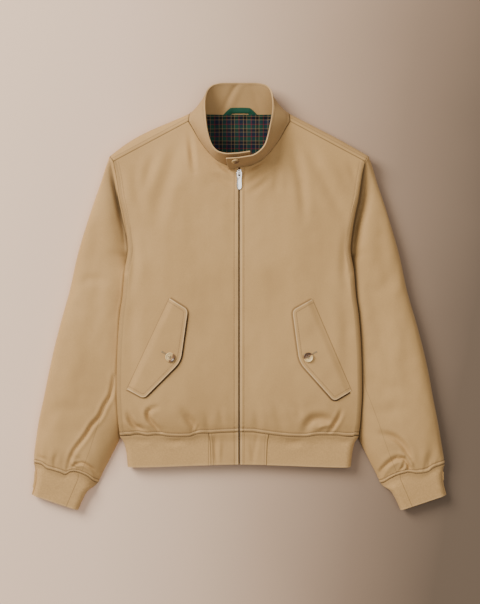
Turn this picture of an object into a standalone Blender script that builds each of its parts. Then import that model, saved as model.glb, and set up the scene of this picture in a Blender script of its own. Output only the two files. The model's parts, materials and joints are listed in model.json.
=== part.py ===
"""A harrington jacket laid face up on a flat surface, one object for each piece that is cut and sewn on.

Sizes are in millimetres and become metres as each mesh is made. +X runs to the viewer's right, +Y towards
the collar and +Z up from the surface. "left" and "right" are the wearer's, so the left front lies at +X.
Each seam is a list of points that both of its pieces share, so walls meet along it with a small even gap.
"""

from math import cos, exp, pi, radians, sin, sqrt

import bmesh
import bpy
import numpy as np
from mathutils import Vector
from mathutils.bvhtree import BVHTree

MM = 0.001

# Cloth walls
CLOTH = 1.5
RIB = 2.0
COLLAR = 2.6
FLAP = 2.0
LINING = 1.0
TAPE = 1.0
SEAM_GAP = 0.4
SHOULDER_GAP = 0.9
ARMHOLE_GAP = 1.0
SLEEVE_HEAD_GAP = 1.3
CUFF_GAP = 1.9
TUCK_GAP = 0.5

# Body
ZIP_GAP = 2.4
NECK_FRONT_Y = 246.5
NECK_BACK_Y = 340.6
NECK_POINT_FRONT = (96.7, 333.5)
NECK_POINT_EDGE = (94.8, 350.0)
NECK_POINT_BACK = (87.4, NECK_BACK_Y)
SHOULDER_FRONT = (240.7, 254.1)
SHOULDER_EDGE = (247.0, 265.5)
SHOULDER_BACK = (238.7, 250.6)
SHOULDER_THICK = 36.0
SHOULDER_RUN = np.array([0.8759, -0.4826])
UNDERARM_Y = 40.0
WEDGE_GAP = 1.9
ARMHOLE_FOLD_Y = 92.0

# Bottom band
HALF_HEM = 228.6
HEM_Y = -319.0
HEM_SIDE_Y = -324.5

# Sleeve
SLEEVE_ROUND = 46.0
SLEEVE_EDGE = 13.0
SLEEVE_EDGE_RUN = 10.0
SLEEVE_INNER = 4.6
SLEEVE_RISE = 38.0

# Zip
TAPE_WIDE = 14.0
SLIDER_Y = 236.5
PULL_LONG = 34.0

# Buttons
FLAP_BUTTON = 18.5
COLLAR_BUTTON = 14.5
COLLAR_BUTTON_AT = (-7.2, 255.3)
BUTTON_GAP = 0.7

COLOURS = {
    "twill": ((0.53, 0.38, 0.21), 0.85, 0.0),
    "rib": ((0.54, 0.39, 0.22), 0.9, 0.0),
    "plaid": ((0.02, 0.09, 0.08), 0.85, 0.0),
    "ribbon": ((0.01, 0.16, 0.09), 0.6, 0.0),
    "zip_metal": ((0.75, 0.75, 0.76), 0.25, 1.0),
    "horn": ((0.45, 0.3, 0.16), 0.3, 0.0),
}


def pchip(keys, values, at):
    """The value at a key, on a smooth curve through the rows that never overshoots them."""
    step = np.diff(keys)
    slope = np.diff(values) / step
    tangent = np.zeros(len(keys))
    tangent[0], tangent[-1] = slope[0], slope[-1]
    for i in range(1, len(keys) - 1):
        if slope[i - 1] * slope[i] > 0:
            before, after = 2 * step[i] + step[i - 1], step[i] + 2 * step[i - 1]
            tangent[i] = (before + after) / (before / slope[i - 1] + after / slope[i])
    i = int(np.clip(np.searchsorted(keys, at) - 1, 0, len(step) - 1))
    t = float(np.clip((at - keys[i]) / step[i], 0, 1))
    return float(
        values[i] * (1 + 2 * t) * (1 - t) ** 2
        + tangent[i] * step[i] * t * (1 - t) ** 2
        + values[i + 1] * t * t * (3 - 2 * t)
        - tangent[i + 1] * step[i] * t * t * (1 - t)
    )


class Table:
    """A short table with named columns, read smoothly down its first column."""

    def __init__(self, columns, *rows):
        self.columns = columns.split()
        self.rows = np.array(sorted(rows), float)

    def read(self, column, at):
        return pchip(self.rows[:, 0], self.rows[:, self.columns.index(column)], at)

    def points(self):
        return [np.array(row) for row in self.rows]


def curve_point(points, share):
    """The point at a share of the length of a smooth curve through the points."""
    places = np.array(points, float)
    along = shares_along(places)
    return np.array([pchip(along, places[:, k], share) for k in range(places.shape[1])])


def shares_along(points):
    """Each point's share of the length of the line through them all."""
    steps = [np.linalg.norm(np.subtract(b, a)) for a, b in zip(points, points[1:])]
    total = np.concatenate([[0], np.cumsum(steps)])
    return total / total[-1]


def ease(x):
    """0 below 0, 1 above 1, and smooth between."""
    x = min(max(x, 0.0), 1.0)
    return x * x * (3 - 2 * x)


def mix(a, b, share):
    return a + (b - a) * share


# Outlines of the right-hand half as the viewer sees it
FRONT_EDGE = Table(
    "y x",
    (-266, 228.6), (-229, 231.8), (-178, 234.1), (-131, 233.3), (-83, 231.2), (-34, 227.4), (2, 222.3),
    (48, 218.5), (92, 212.0), (107, 213.3), (158, 221.2), (183, 226.7), (221, 232.5), (254, 240.7),
)
BACK_ARMHOLE = Table(
    "y x", (40, 174), (60, 190), (85, 199), (120, 205), (160, 210), (200, 218), (230, 229), (250.6, 238.7)
)
FRONT_NECK = [
    (1.2, NECK_FRONT_Y), (24.7, 248.6), (44.7, 257.0), (62.3, 272.2), (78.7, 295.4), (90.3, 319.7),
    NECK_POINT_FRONT,
]
TUCK = Table("y inward", (-266, 22), (-229, 42), (-195, 54), (-150, 58), (-50, 56), (0, 52), (40, 46))
SLEEVE_OUTER = [
    SHOULDER_EDGE, (253.6, 251.3), (265.0, 217.1), (277.4, 182.9), (292.6, 137.3), (309.7, 80.3),
    (324.9, 11.9),
    (343.9, -56.5), (355.3, -102.1), (364.8, -147.7), (372.4, -193.3), (381.0, -238.9), (386.7, -273.1),
    (391.4, -307.3), (390.1, -322.0),
]
SLEEVE_INNER_EDGE = [
    (174.0, 40.0), (184.0, 0.0), (189.0, -50.0), (191.0, -105.0), (190.0, -155.0), (193.0, -198.0),
    (206.8, -229.4), (226.1, -267.4), (248.0, -311.0), (270.9, -355.8),
]

# The front's heights, at the zip and at the outer edge, and its swell between them
FRONT_HEIGHT = Table(
    "y zip edge swell",
    (-266, 28, 27, 0.5), (-256, 31.5, 31, 1.5), (-242, 36.5, 36, 2.5), (-215, 42.5, 40, 3),
    (-170, 46, 42, 3.5),
    (-90, 48, 43, 4), (40, 48, 43, 4.5), (110, 47.5, 42, 4.5), (180, 46, 39.5, 3.5),
    (225, 44, 37.5, 2), (254, 36, 36, 0),
)
HEM_DROP = Table("x y", (0, -259.5), (55, -260.5), (95, -264.5), (140, -265.5), (200, -264.5), (229, -266.5))

# Each row of a front: its y at the outer edge, its y at the zip, its share of the neck curve
FRONT_ROWS = [
    (-266, -260, 0), (-257, -251, 0), (-246, -240, 0), (-232, -226, 0), (-214, -207, 0), (-190, -182, 0),
    (-150, -140, 0), (-100, -85, 0), (-50, -30, 0), (0, 25, 0), (40, 70, 0), (54, 87, 0), (67, 103, 0),
    (80, 119, 0), (92, 134, 0), (112, 158, 0), (132, 181, 0), (152, 203, 0), (169, 225, 0),
    (184, NECK_FRONT_Y, 0),
    (197, NECK_FRONT_Y, 0.14), (209, NECK_FRONT_Y, 0.28), (220, NECK_FRONT_Y, 0.42),
    (230, NECK_FRONT_Y, 0.56), (239, NECK_FRONT_Y, 0.70),
    (247, NECK_FRONT_Y, 0.85), (254, NECK_FRONT_Y, 1),
]
UNDERARM_ROW = 10
# The same for the back, with its share of the back neck
BACK_ROWS = [
    (58, 100, 0), (80, 140, 0), (110, 185, 0), (145, 235, 0), (180, 290, 0), (203, NECK_BACK_Y, 0),
    (217, NECK_BACK_Y, 0.25),
    (229, NECK_BACK_Y, 0.5), (240, NECK_BACK_Y, 0.75), (250.6, NECK_BACK_Y, 1),
]
SHOULDER_TURN = [radians(a) for a in (30, 60, 90, 120, 150, 180)]

FRONT_COLUMNS = (0, 0.11, 0.222, 0.32, 0.42, 0.52, 0.62, 0.71, 0.80, 0.88, 0.95, 1)
CURL_COLUMNS = 8

# Folds, each as x0, y0, x1, y1, wide, deep: a ridge along a line, or a trough where deep is below 0
LEFT_FRONT_FOLDS = [
    (122, -247, 146, -232, 11, -5), (146, -232, 176, -239, 11, -4), (192, -225, 175, -252, 9, -4.5),
    (158, -252, 166, -244, 10, 3), (60, -230, 64, -252, 12, -2), (100, 316, 112, 200, 16, -3),
    (150, 268, 186, 160, 18, -2),
]
RIGHT_FRONT_FOLDS = [
    (-206, -234, -184, -250, 9, -4.5), (-176, -222, -164, -212, 9, -3.5),
    (-167, -226, -151, -252, 10, -5),
    (-150, -226, -140, -250, 10, 3), (-96, -232, -82, -252, 11, -4), (-62, -236, -58, -252, 12, -2),
    (-96, 316, -86, 240, 15, -3), (-152, 262, -170, 170, 18, -2),
]
LEFT_SLEEVE_FOLDS = [
    (276, -267, 297, -268, 9, -5), (297, -268, 317, -287, 9, -7), (317, -287, 330, -322, 8, -8),
    (273, -336, 287, -320, 8, -6), (287, -320, 309, -306, 8, -6), (309, -306, 321, -326, 6, -5),
    (284, -300, 310, -296, 7, 3), (300, 120, 330, -60, 20, -2),
]
RIGHT_SLEEVE_FOLDS = [
    (-242, -169, -264, -227, 9, -5), (-264, -227, -288, -254, 9, -7), (-288, -254, -307, -282, 9, -8),
    (-307, -282, -325, -320, 8, -8), (-320, -322, -304, -312, 6, -5), (-304, -312, -273, -334, 8, -5),
    (-300, -296, -286, -322, 9, 3), (-300, 110, -330, -60, 20, -2),
]


def fold_height(folds, x, y):
    """How far the cloth is raised or sunk at a place by the folds near it."""
    total = 0.0
    for x0, y0, x1, y1, wide, deep in folds:
        run = np.array([x1 - x0, y1 - y0])
        share = float(np.dot((x - x0, y - y0), run) / np.dot(run, run))
        near = min(max(share, 0.0), 1.0)
        away = sqrt((x - x0 - near * run[0]) ** 2 + (y - y0 - near * run[1]) ** 2)
        total += deep * exp(-((away / wide) ** 2))
    return total


def edge_frame(y):
    """A point of the front's outer edge and the way out from it, both in plan."""
    slope = (FRONT_EDGE.read("x", y + 1) - FRONT_EDGE.read("x", y - 1)) / 2
    out = mix(np.array([1.0, -slope]) / sqrt(1 + slope * slope), SHOULDER_RUN, ease((y - 232) / 22))
    return np.array([FRONT_EDGE.read("x", y), y]), out


def curl_sizes(y):
    """The front's turn at its outer edge: its run and drop, and the lower turn's run and drop."""
    up = ease((y - ARMHOLE_FOLD_Y) / 150)
    low = ease((-215 - y) / 50)
    seam = ease((254 - y) / 18)
    return mix(10, 5, up), mix(mix(9, 3.5, up), 8, low) * mix(0.12, 1, seam), 8.0, mix(8.0, 5.5, low)


def curl_line(y, top):
    """The front's edge from its top, round and under to the side seam, as (outward, height)."""
    run, drop, low_run, low_drop = curl_sizes(y)
    upper = [(-run + run * sin(a), top - drop + drop * cos(a)) for a in np.linspace(0, pi / 2, 7)]
    half = np.linspace(0, pi / 2, 6)[1:]
    lower = [(-low_run + low_run * cos(a), top - drop - low_drop * sin(a)) for a in half]
    seam = np.array([-TUCK.read("inward", y), 4.8 * ease(y / UNDERARM_Y)])
    start = np.array(lower[-1])
    tail = [mix(start, seam, s) - np.array([0, 1.0 * sin(pi * s)]) for s in np.linspace(0, 1, 7)[1:]]
    return upper, lower, [tuple(p) for p in tail]


def curl_points(y, top):
    """The front's turned edge: as many points on the armhole's short turn as on the side's long one."""
    upper, lower, tail = curl_line(y, top)
    line = np.array(upper + lower + tail)
    lengths = np.concatenate([[0], np.cumsum(np.linalg.norm(np.diff(line, axis=0), axis=1))])
    quarter, half = lengths[len(upper) - 1], lengths[len(upper) + len(lower) - 1]
    under = ease((ARMHOLE_FOLD_Y - y) / (ARMHOLE_FOLD_Y - UNDERARM_Y))
    turn_columns = CURL_COLUMNS - 3
    found = []
    for k in range(1, CURL_COLUMNS + 1):
        short = quarter * k / CURL_COLUMNS
        if k <= turn_columns:
            full = half * k / turn_columns
        else:
            full = mix(half, lengths[-1], (k - turn_columns) / 3)
        at = mix(short, full, under)
        found.append((np.interp(at, lengths, line[:, 0]), np.interp(at, lengths, line[:, 1])))
    return found


def front_grid(side, folds):
    """The outer face of a front, by rows from the hem to the shoulder seam."""
    rows = []
    for edge_y, zip_y, neck in FRONT_ROWS:
        edge, out = edge_frame(edge_y)
        inner = np.array([ZIP_GAP / 2, zip_y]) if neck == 0 else curve_point(FRONT_NECK, neck)
        inner_z = mix(FRONT_HEIGHT.read("zip", min(zip_y, 225)), SHOULDER_THICK, ease(neck))
        edge_z = FRONT_HEIGHT.read("edge", edge_y)
        swell = FRONT_HEIGHT.read("swell", edge_y)
        start = edge - out * curl_sizes(edge_y)[0]
        row = []
        for t in FRONT_COLUMNS:
            x, y = mix(inner, start, t)
            if edge_y <= -232:
                y += (HEM_DROP.read("y", x) - mix(-260, -266, t)) * ease((-232 - edge_y) / 30)
            z = mix(inner_z, edge_z, t**1.5) + swell * sin(pi * t)
            fade = ease((edge_y + 268) / 10) * ease((254 - edge_y) / 25) * ease((1 - t) * 12)
            z += fold_height(folds, side * x, y) * fade
            row.append((side * x, y, z))
        for outward, z in curl_points(edge_y, edge_z):
            x, y = edge + out * outward
            row.append((side * x, y, z))
        rows.append(row)
    return np.array(rows)


def turned(front, edge, back, angle):
    """A place on the shoulder's turn from the back, at 0, over the edge to the front seam, at 180 degrees."""
    far = np.array(back if angle < pi / 2 else front)
    plan = mix(np.array(edge), far, 1 - sin(angle))
    return np.array([plan[0], plan[1], SHOULDER_THICK / 2 * (1 - cos(angle))])


def back_grid(front):
    """The outer face of the back's half, by rows from the hem, over the shoulder, to the shoulder seam."""
    shares = np.linspace(0, 1, 7)
    rows = []
    for (edge_y, zip_y, _), front_row in zip(FRONT_ROWS[: UNDERARM_ROW + 1], front):
        seam, before = front_row[-1], front_row[-2]
        slope = abs(seam[2] - before[2]) / np.linalg.norm(seam - before)
        out = np.array([seam[0] - 0.6 - CLOTH * slope, seam[1]])
        centre = np.array([0, mix(-262, zip_y, ease((edge_y + 266) / 200))])
        rows.append([(*mix(centre, out, s), 0) for s in shares])
    for edge_y, centre_y, neck in BACK_ROWS:
        inner = mix(np.array([0, centre_y]), np.array(NECK_POINT_BACK), neck)
        outer = np.array([BACK_ARMHOLE.read("x", edge_y), edge_y])
        rows.append([(*mix(inner, outer, s), 0) for s in shares])
    for angle in SHOULDER_TURN:
        inner = turned(NECK_POINT_FRONT, NECK_POINT_EDGE, NECK_POINT_BACK, angle)
        outer = turned(SHOULDER_FRONT, SHOULDER_EDGE, SHOULDER_BACK, angle)
        if angle == SHOULDER_TURN[-1]:
            away = np.array([-SHOULDER_RUN[1], SHOULDER_RUN[0], 0]) * SHOULDER_GAP
            inner, outer = inner + away, outer + away
        rows.append([tuple(mix(inner, outer, s)) for s in shares])
    return np.array(rows)


def armhole_loop(front, back):
    """The armhole's points on the sleeve's side: round the shoulder, down the front, up the back."""
    along_shoulder = np.array([*SHOULDER_RUN, 0]) * SLEEVE_HEAD_GAP
    turn = [back[UNDERARM_ROW + len(BACK_ROWS)][-1]] + [row[-1] for row in back[-len(SHOULDER_TURN): -1]]
    turn = [np.array(p) + along_shoulder for p in turn]
    down_rows = front[::-1][: len(FRONT_ROWS) - UNDERARM_ROW]
    down = [row[-1] - (0, 0, TUCK_GAP + 1.0 * ease((ARMHOLE_FOLD_Y - row[-1][1]) / 25)) for row in down_rows]
    down[0] = down[0] + along_shoulder
    up = []
    for before, row, after in zip(back[UNDERARM_ROW:], back[UNDERARM_ROW + 1:], back[UNDERARM_ROW + 2:]):
        if row[-1][2] > 0 or row[-1][1] > SHOULDER_BACK[1] - 1:
            break
        run = after[-1] - before[-1]
        out = np.array([run[1], -run[0], 0]) / np.hypot(run[0], run[1])
        up.append(row[-1] + out * ARMHOLE_GAP)
    return turn, down, up


def wedge_height(x, y):
    """How high a sleeve can be at a place in plan and still clear the front's turned under edge."""
    y = min(max(y, -266), 100)
    rise = 60 * ease((y - 62) / 36)
    edge, out = edge_frame(y)
    inward = float(edge[0] - x) * out[0]
    top = FRONT_HEIGHT.read("edge", y)
    _, drop, low_run, low_drop = curl_sizes(y)
    low = top - drop - low_drop
    tuck = TUCK.read("inward", y)
    if inward < low_run:
        return low - WEDGE_GAP + 1.2 * (low_run - inward) + rise
    share = min((inward - low_run) / (tuck - low_run), 1)
    return mix(low, 4.8 * ease(y / UNDERARM_Y), share) - 1.0 * sin(pi * share) - WEDGE_GAP + rise


SLEEVE_RINGS = (
    0, 0.008, 0.02, 0.04, 0.07, 0.11, 0.16, 0.22, 0.30, 0.39, 0.48, 0.57, 0.66, 0.74, 0.81, 0.87, 0.91, 0.945,
    0.975, 1,
)
SLEEVE_PUFF = Table(
    "share high", (0, 36), (0.12, 34.5), (0.6, 35), (0.85, 35), (0.93, 33), (0.975, 28.5), (1, 25.5)
)


class SleeveTop:
    """Heights of a sleeve's upper face in plan."""

    def __init__(self, down, side, folds):
        seam = sorted((p[1], p[0], p[2]) for p in down)
        inner = [(y, x, SLEEVE_INNER) for x, y in SLEEVE_INNER_EDGE if y < UNDERARM_Y - 1]
        self.inner = Table("y x z", *[tuple(r) for r in inner + seam])
        outer = [(y, x) for x, y in SLEEVE_OUTER]
        self.outer = Table("y x", *outer)
        self.side, self.folds = side, folds

    def height(self, x, y, share):
        from_inner = max(x - self.inner.read("x", y), 0) * 0.97
        from_outer = max(self.outer.read("x", y) - x, 0) * 0.96
        high = SLEEVE_PUFF.read("high", share)
        low = self.inner.read("z", y)
        plateau = low + (high - low) * (1 - exp(-from_inner / SLEEVE_RISE))
        valley = 8 * ease((235 - y) / 90) * ease((y - 50) / 45)
        plateau -= valley * from_inner / 9 * exp(1 - from_inner / 9)
        edge = mix(SHOULDER_THICK / 2, SLEEVE_EDGE, ease(share / 0.15))
        round_share = min(from_outer / SLEEVE_ROUND, 1)
        z = edge + (plateau - edge) * sqrt(1 - (1 - round_share) ** 2)
        fade = ease(from_outer / 12) * ease(from_inner / 8) * ease((1 - share) / 0.02)
        z += fold_height(self.folds, self.side * x, y) * fade
        free = mix(100.0, wedge_height(x, y), ease(share / 0.02))
        z = free - (free - z + sqrt((free - z) ** 2 + 9)) / 2 + 0.8 if z > free - 8 else z
        return max(z, SLEEVE_INNER - 1.2)


def sleeve_grid(front, back, side, folds):
    """The outer face of a sleeve as rings from the armhole to the cuff seam.

    Each ring starts under the shoulder.
    """
    turn, down, up = armhole_loop(front, back)
    quarter = SLEEVE_QUARTER
    top_line = turn[quarter:] + down
    top_shares = shares_along(top_line)
    bottom_shares = shares_along([down[-1]] + up + [turn[0]])[1:-1]
    first = turn + down + up
    top = SleeveTop(down, side, folds)
    rings = []
    for share in SLEEVE_RINGS:
        outer = curve_point(SLEEVE_OUTER, share**0.95)
        inner = curve_point(SLEEVE_INNER_EDGE, share**1.1)
        keep = (1 - ease(share / 0.30)) if share > 0 else 1
        keep_z = 1 - ease(share / 0.06)
        across = inner - outer
        wide = np.linalg.norm(across)
        start_outer = np.array(SHOULDER_EDGE)
        start_across = np.array(SLEEVE_INNER_EDGE[0]) - start_outer
        edge = mix(SHOULDER_THICK / 2, SLEEVE_EDGE, ease(share / 0.15))
        ring = []
        for k in range(quarter):
            angle = radians(30 * k)
            at = SLEEVE_EDGE_RUN * (1 - sin(angle)) / wide
            at_start = SLEEVE_EDGE_RUN * (1 - sin(angle)) / np.linalg.norm(start_across)
            plan = outer + across * at + (turn[k][:2] - start_outer - start_across * at_start) * keep
            z = mix(edge * (1 - cos(angle)), turn[k][2], keep_z)
            ring.append((*plan, z))
        for at, seam in zip(top_shares, top_line):
            shift = seam[:2] - start_outer - start_across * at
            plan = outer + across * at + shift * keep
            z = top.height(*plan, share)
            z += (seam[2] - top.height(*seam[:2], 0)) * keep_z
            ring.append((*plan, z))
        ring[-1] = (*ring[-1][:2], mix(SLEEVE_INNER, down[-1][2], keep_z))
        for at, seam in zip(bottom_shares, up):
            back_at = mix(1 - 3.5 / wide, SLEEVE_EDGE_RUN / wide, at)
            start_at = mix(1, 0, at)
            plan = outer + across * back_at + (seam[:2] - start_outer - start_across * start_at) * keep
            ring.append((*plan, 0))
        rings.append(ring)
    rings = np.array(rings)
    rings[0] = np.array(first)
    rings[:, :, 0] *= side
    return rings


SLEEVE_QUARTER = 3
SEAM_TURN = 1.0


def sleeve_halves(rings):
    """The top sleeve and the under sleeve, cut along the outer edge and the inner edge of the rings."""
    under_count = len(BACK_ROWS) - 1
    top = rings[:, SLEEVE_QUARTER: rings.shape[1] - under_count].copy()
    inner = top[:, -1:].copy()
    inner[:, :, 2] = np.maximum(inner[:, :, 2] - 2 * CLOTH - SEAM_GAP, 0)
    outer = top[:, :1] - (0, 0, SEAM_GAP / 2)
    top[:, 0, 2] += SEAM_TURN
    under = np.concatenate([inner, rings[:, -under_count:], rings[:, :SLEEVE_QUARTER], outer], axis=1)
    return top, under


CUFF_ROWS = Table(
    "share outer_x outer_y inner_x inner_y thick oval",
    (0, 390.1, -322.0, 270.9, -355.8, 25, 0), (0.1, 387.0, -328.5, 274.5, -361.3, 24, 0.3),
    (0.25, 385.4, -337.0, 284.5, -368.0, 24, 1), (0.6, 386.8, -357.0, 296.5, -386.0, 23, 1),
    (1, 391.6, -378.0, 305.9, -405.5, 22, 1),
)


def cuff_grid(sleeve, side):
    """The outer face of a cuff as rings from its seam with the sleeve to its free edge."""
    last = sleeve[-1].copy()
    last[:, 0] *= side
    outer, inner = np.array(SLEEVE_OUTER[-1]), np.array(SLEEVE_INNER_EDGE[-1])
    across = inner - outer
    wide = np.linalg.norm(across)
    places = (last[:, :2] - outer) @ across / wide**2
    down_axis = np.array([0.273, -0.962, 0])
    rings = []
    for share in (0, 0.1, 0.25, 0.6, 1):
        out_now = np.array([CUFF_ROWS.read("outer_x", share), CUFF_ROWS.read("outer_y", share)])
        in_now = np.array([CUFF_ROWS.read("inner_x", share), CUFF_ROWS.read("inner_y", share)])
        thick, oval = CUFF_ROWS.read("thick", share), CUFF_ROWS.read("oval", share)
        width = np.linalg.norm(in_now - out_now)
        ring = []
        for k, (place, point) in enumerate(zip(places, last)):
            plan = mix(out_now, in_now, place)
            edge = min(place, 1 - place) * width
            rounded = sqrt(max(1 - (1 - min(max(edge, 0) / (thick * 0.55), 1)) ** 2, 0))
            upper = 3 <= k < len(last) - (len(BACK_ROWS) - 1)
            z = thick / 2 * (1 + rounded) if upper else thick / 2 * (1 - rounded)
            ring.append((*plan, mix(point[2], z, oval)))
        rings.append(ring)
    rings = np.array(rings)
    rings[0] = last + down_axis * CUFF_GAP
    rings[:, :, 0] *= side
    return rings


def body_hem(front_left, front_right, back):
    """The body's lowest points, from the left front's zip edge, round the back, to the right front's."""
    half = [tuple(p) for p in back[0]]
    left = [tuple(p) for p in front_left[0]]
    right = [tuple(p) for p in front_right[0]]
    across = half[::-1] + [(-x, y, z) for x, y, z in half[1:]]
    return np.array(left + across + right[::-1])


BAND_ROWS = Table(
    "share wide thick own",
    (0, HALF_HEM, 28, 0), (0.12, 221.5, 26, 0.6), (0.3, 218.0, 25, 1), (1, 214.5, 24, 1),
)


def band_grid(hem):
    """The outer face of the bottom band, by columns round the body, from its seam to its free edge."""
    rows = []
    for share in (0, 0.12, 0.3, 0.65, 1):
        wide, thick, own = (BAND_ROWS.read(c, share) for c in ("wide", "thick", "own"))
        row = []
        for k, (x, y, z) in enumerate(hem):
            far = abs(x) / HALF_HEM
            corner = max(abs(x) - (HALF_HEM - thick / 2), 0) / (thick / 2)
            bottom = mix(HEM_Y, HEM_SIDE_Y, ease(far))
            on_front = k < len(FRONT_COLUMNS) or k >= len(hem) - len(FRONT_COLUMNS)
            on_back = FRONT_SPAN <= k < len(hem) - FRONT_SPAN
            if on_front:
                flat_x = min(abs(x), 217.0) / 217.0 * (wide - thick / 2)
                target = (np.sign(x) * flat_x, thick)
            elif on_back:
                target = (x / 205.0 * (wide - thick / 2), 0.0)
            else:
                step = k - len(FRONT_COLUMNS) if k < FRONT_SPAN else len(hem) - 1 - len(FRONT_COLUMNS) - k
                angle = pi * (step + 1) / (CURL_COLUMNS + 1)
                target = (np.sign(x) * (wide - thick / 2 * (1 - sin(angle))), thick / 2 * (1 + cos(angle)))
            seam_y = y - mix(SEAM_GAP, 1.6, ease((abs(x) - 195) / 20))
            seam_z = z - SEAM_GAP * (z > 10)
            row.append((mix(x, target[0], own), mix(seam_y, bottom, share), mix(seam_z, target[1], own)))
        rows.append(row)
    return np.array(rows)


FRONT_SPAN = len(FRONT_COLUMNS) + CURL_COLUMNS


def neck_edge(front_left, front_right, back):
    """The body's neck points, from the right front's zip edge, round the back, to the left front's."""
    first_neck = next(i for i, row in enumerate(FRONT_ROWS) if row[1] == NECK_FRONT_Y)
    front = [front_left[i][0] for i in range(first_neck, len(FRONT_ROWS))]
    turn = [back[i][0] for i in range(len(back) - 2, len(back) - len(SHOULDER_TURN) - 2, -1)]
    last_flat = UNDERARM_ROW + len(BACK_ROWS)
    flat = [back[i][0] for i in range(last_flat - 1, last_flat - 5, -1)]
    half = np.array([tuple(p) for p in front + turn + flat])
    mirrored = half * (-1, 1, 1)
    return np.concatenate([mirrored, half[::-1][1:]]), len(half)


COLLAR_TOP = Table(
    "share x y z",
    (0, 0, 264.6, 92), (0.09, 22, 266.8, 92), (0.17, 36.7, 273.0, 91), (0.26, 47.0, 286.0, 87),
    (0.36, 53.5, 303.0, 80.5), (0.45, 58.0, 323.5, 72), (0.51, 61.0, 342.0, 64), (0.60, 64.0, 366.0, 52),
    (0.68, 62.0, 386.0, 40), (0.78, 50.0, 401.0, 29), (0.89, 28.0, 405.3, 23), (1, 0, 405.5, 21),
)
UNDERLAP = 20.0
OVERLAP = 25.0
LAP_STEP = 3.5


def lap_column(first, second, x):
    """A column of the collar on the line between two others, at x."""
    share = (x - first[0][0]) / (second[0][0] - first[0][0])
    return mix(first[0], second[0], share), mix(first[1], second[1], share)


def collar_grid(front_left, front_right, back):
    """The outer face of the collar, from its underlap, round the neck, to its overlap with the button."""
    edge, count = neck_edge(front_left, front_right, back)
    shares = shares_along(edge[:count])
    columns = []
    for k, point in enumerate(edge):
        mirrored = k >= count
        share = shares[k] if not mirrored else shares[2 * count - 2 - k]
        sign = -1 if not mirrored else 1
        top = np.array([COLLAR_TOP.read(axis, share) for axis in "xyz"]) * (sign, 1, 1)
        run = top - point
        back_share = ease((share - 0.42) / 0.15)
        gap = mix(SEAM_GAP, 1.3, back_share)
        base = point + run / np.linalg.norm(run) * gap
        columns.append((base, top))
    under = [lap_column(columns[-1], columns[-2], x) for x in (UNDERLAP, 10.0)]
    over = [lap_column(columns[0], columns[1], x) for x in (-12.0, -OVERLAP)]
    middle = [(mix(columns[0][k], columns[-1][k], 0.5)) for k in range(2)]
    columns = under + [tuple(middle)] + columns[1:-1] + [tuple(middle)] + over
    rows = []
    for up in (0, 0.2, 0.45, 0.7, 0.88, 1):
        row = []
        for k, (base, top) in enumerate(columns):
            point = mix(base, top, up)
            run = top - base
            face = np.array([0, -run[2], run[1]]) / np.hypot(run[1], run[2])
            near_front = base[1] < 300
            inward = min(max((point[0] + OVERLAP) / (OVERLAP + UNDERLAP), 0), 1)
            inward = inward if near_front and k < len(columns) / 2 else 0
            outward = min(max((UNDERLAP - point[0]) / (OVERLAP + UNDERLAP), 0), 1)
            outward = outward if near_front and k > len(columns) / 2 else 0
            point = point + face * (outward - inward) * LAP_STEP
            away = point - np.array([0, 330, point[2]])
            away = away / max(np.linalg.norm(away), 1)
            point = point + away * 2.2 * sin(pi * up)
            row.append(tuple(point))
        rows.append(row)
    return np.array(rows)


def make_material(name):
    colour, roughness, metallic = COLOURS[name]
    material = bpy.data.materials.new(name)
    material.use_nodes = True
    surface = material.node_tree.nodes["Principled BSDF"]
    surface.inputs["Base Color"].default_value = (*colour, 1)
    surface.inputs["Roughness"].default_value = roughness
    surface.inputs["Metallic"].default_value = metallic
    return material


class Jacket:
    """Holds the collection, the frame that every piece is parented to, and the materials."""

    def __init__(self):
        self.collection = bpy.data.collections.new("harrington_jacket")
        self.cutters = bpy.data.collections.new("cutters")
        bpy.context.scene.collection.children.link(self.collection)
        bpy.context.scene.collection.children.link(self.cutters)
        self.frame = bpy.data.objects.new("jacket_frame", None)
        self.collection.objects.link(self.frame)
        self.materials = {name: make_material(name) for name in COLOURS}

    def place(self, name, mesh, material, smooth=True):
        piece = bpy.data.objects.new(name, mesh)
        self.collection.objects.link(piece)
        piece.parent = self.frame
        mesh.materials.append(self.materials[material])
        if smooth:
            mesh.shade_smooth()
        return piece

    def cloth(self, name, grid, wall, material, face_out, closed=False, mirror=False):
        """A wall of cloth whose outer face runs through a grid of points.

        The farthest face along face_out looks that way.
        """
        grid = np.array(grid) * MM
        if closed:
            grid = np.concatenate([grid, grid[:, :1]], axis=1)
        rows, columns = grid.shape[:2]
        shape = bmesh.new()
        made = bmesh.ops.create_grid(shape, x_segments=columns - 1, y_segments=rows - 1, size=1)["verts"]
        for vert, co in zip(made, grid.reshape(-1, 3)):
            vert.co = co
        bmesh.ops.remove_doubles(shape, verts=shape.verts, dist=0.00001)
        shape.faces.ensure_lookup_table()
        shape.normal_update()
        outer = max(shape.faces, key=lambda f: f.calc_center_median().dot(Vector(face_out)))
        if outer.normal.dot(Vector(face_out)) < 0:
            bmesh.ops.reverse_faces(shape, faces=shape.faces)
        mesh = bpy.data.meshes.new(name)
        shape.to_mesh(mesh)
        shape.free()
        piece = self.place(name, mesh, material)
        if mirror:
            half = piece.modifiers.new("halves", "MIRROR")
            half.use_clip = True
            half.merge_threshold = 0.0001
        thick = piece.modifiers.new("wall", "SOLIDIFY")
        thick.thickness = wall * MM
        thick.offset = -1
        thick.use_even_offset = True
        return piece


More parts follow.
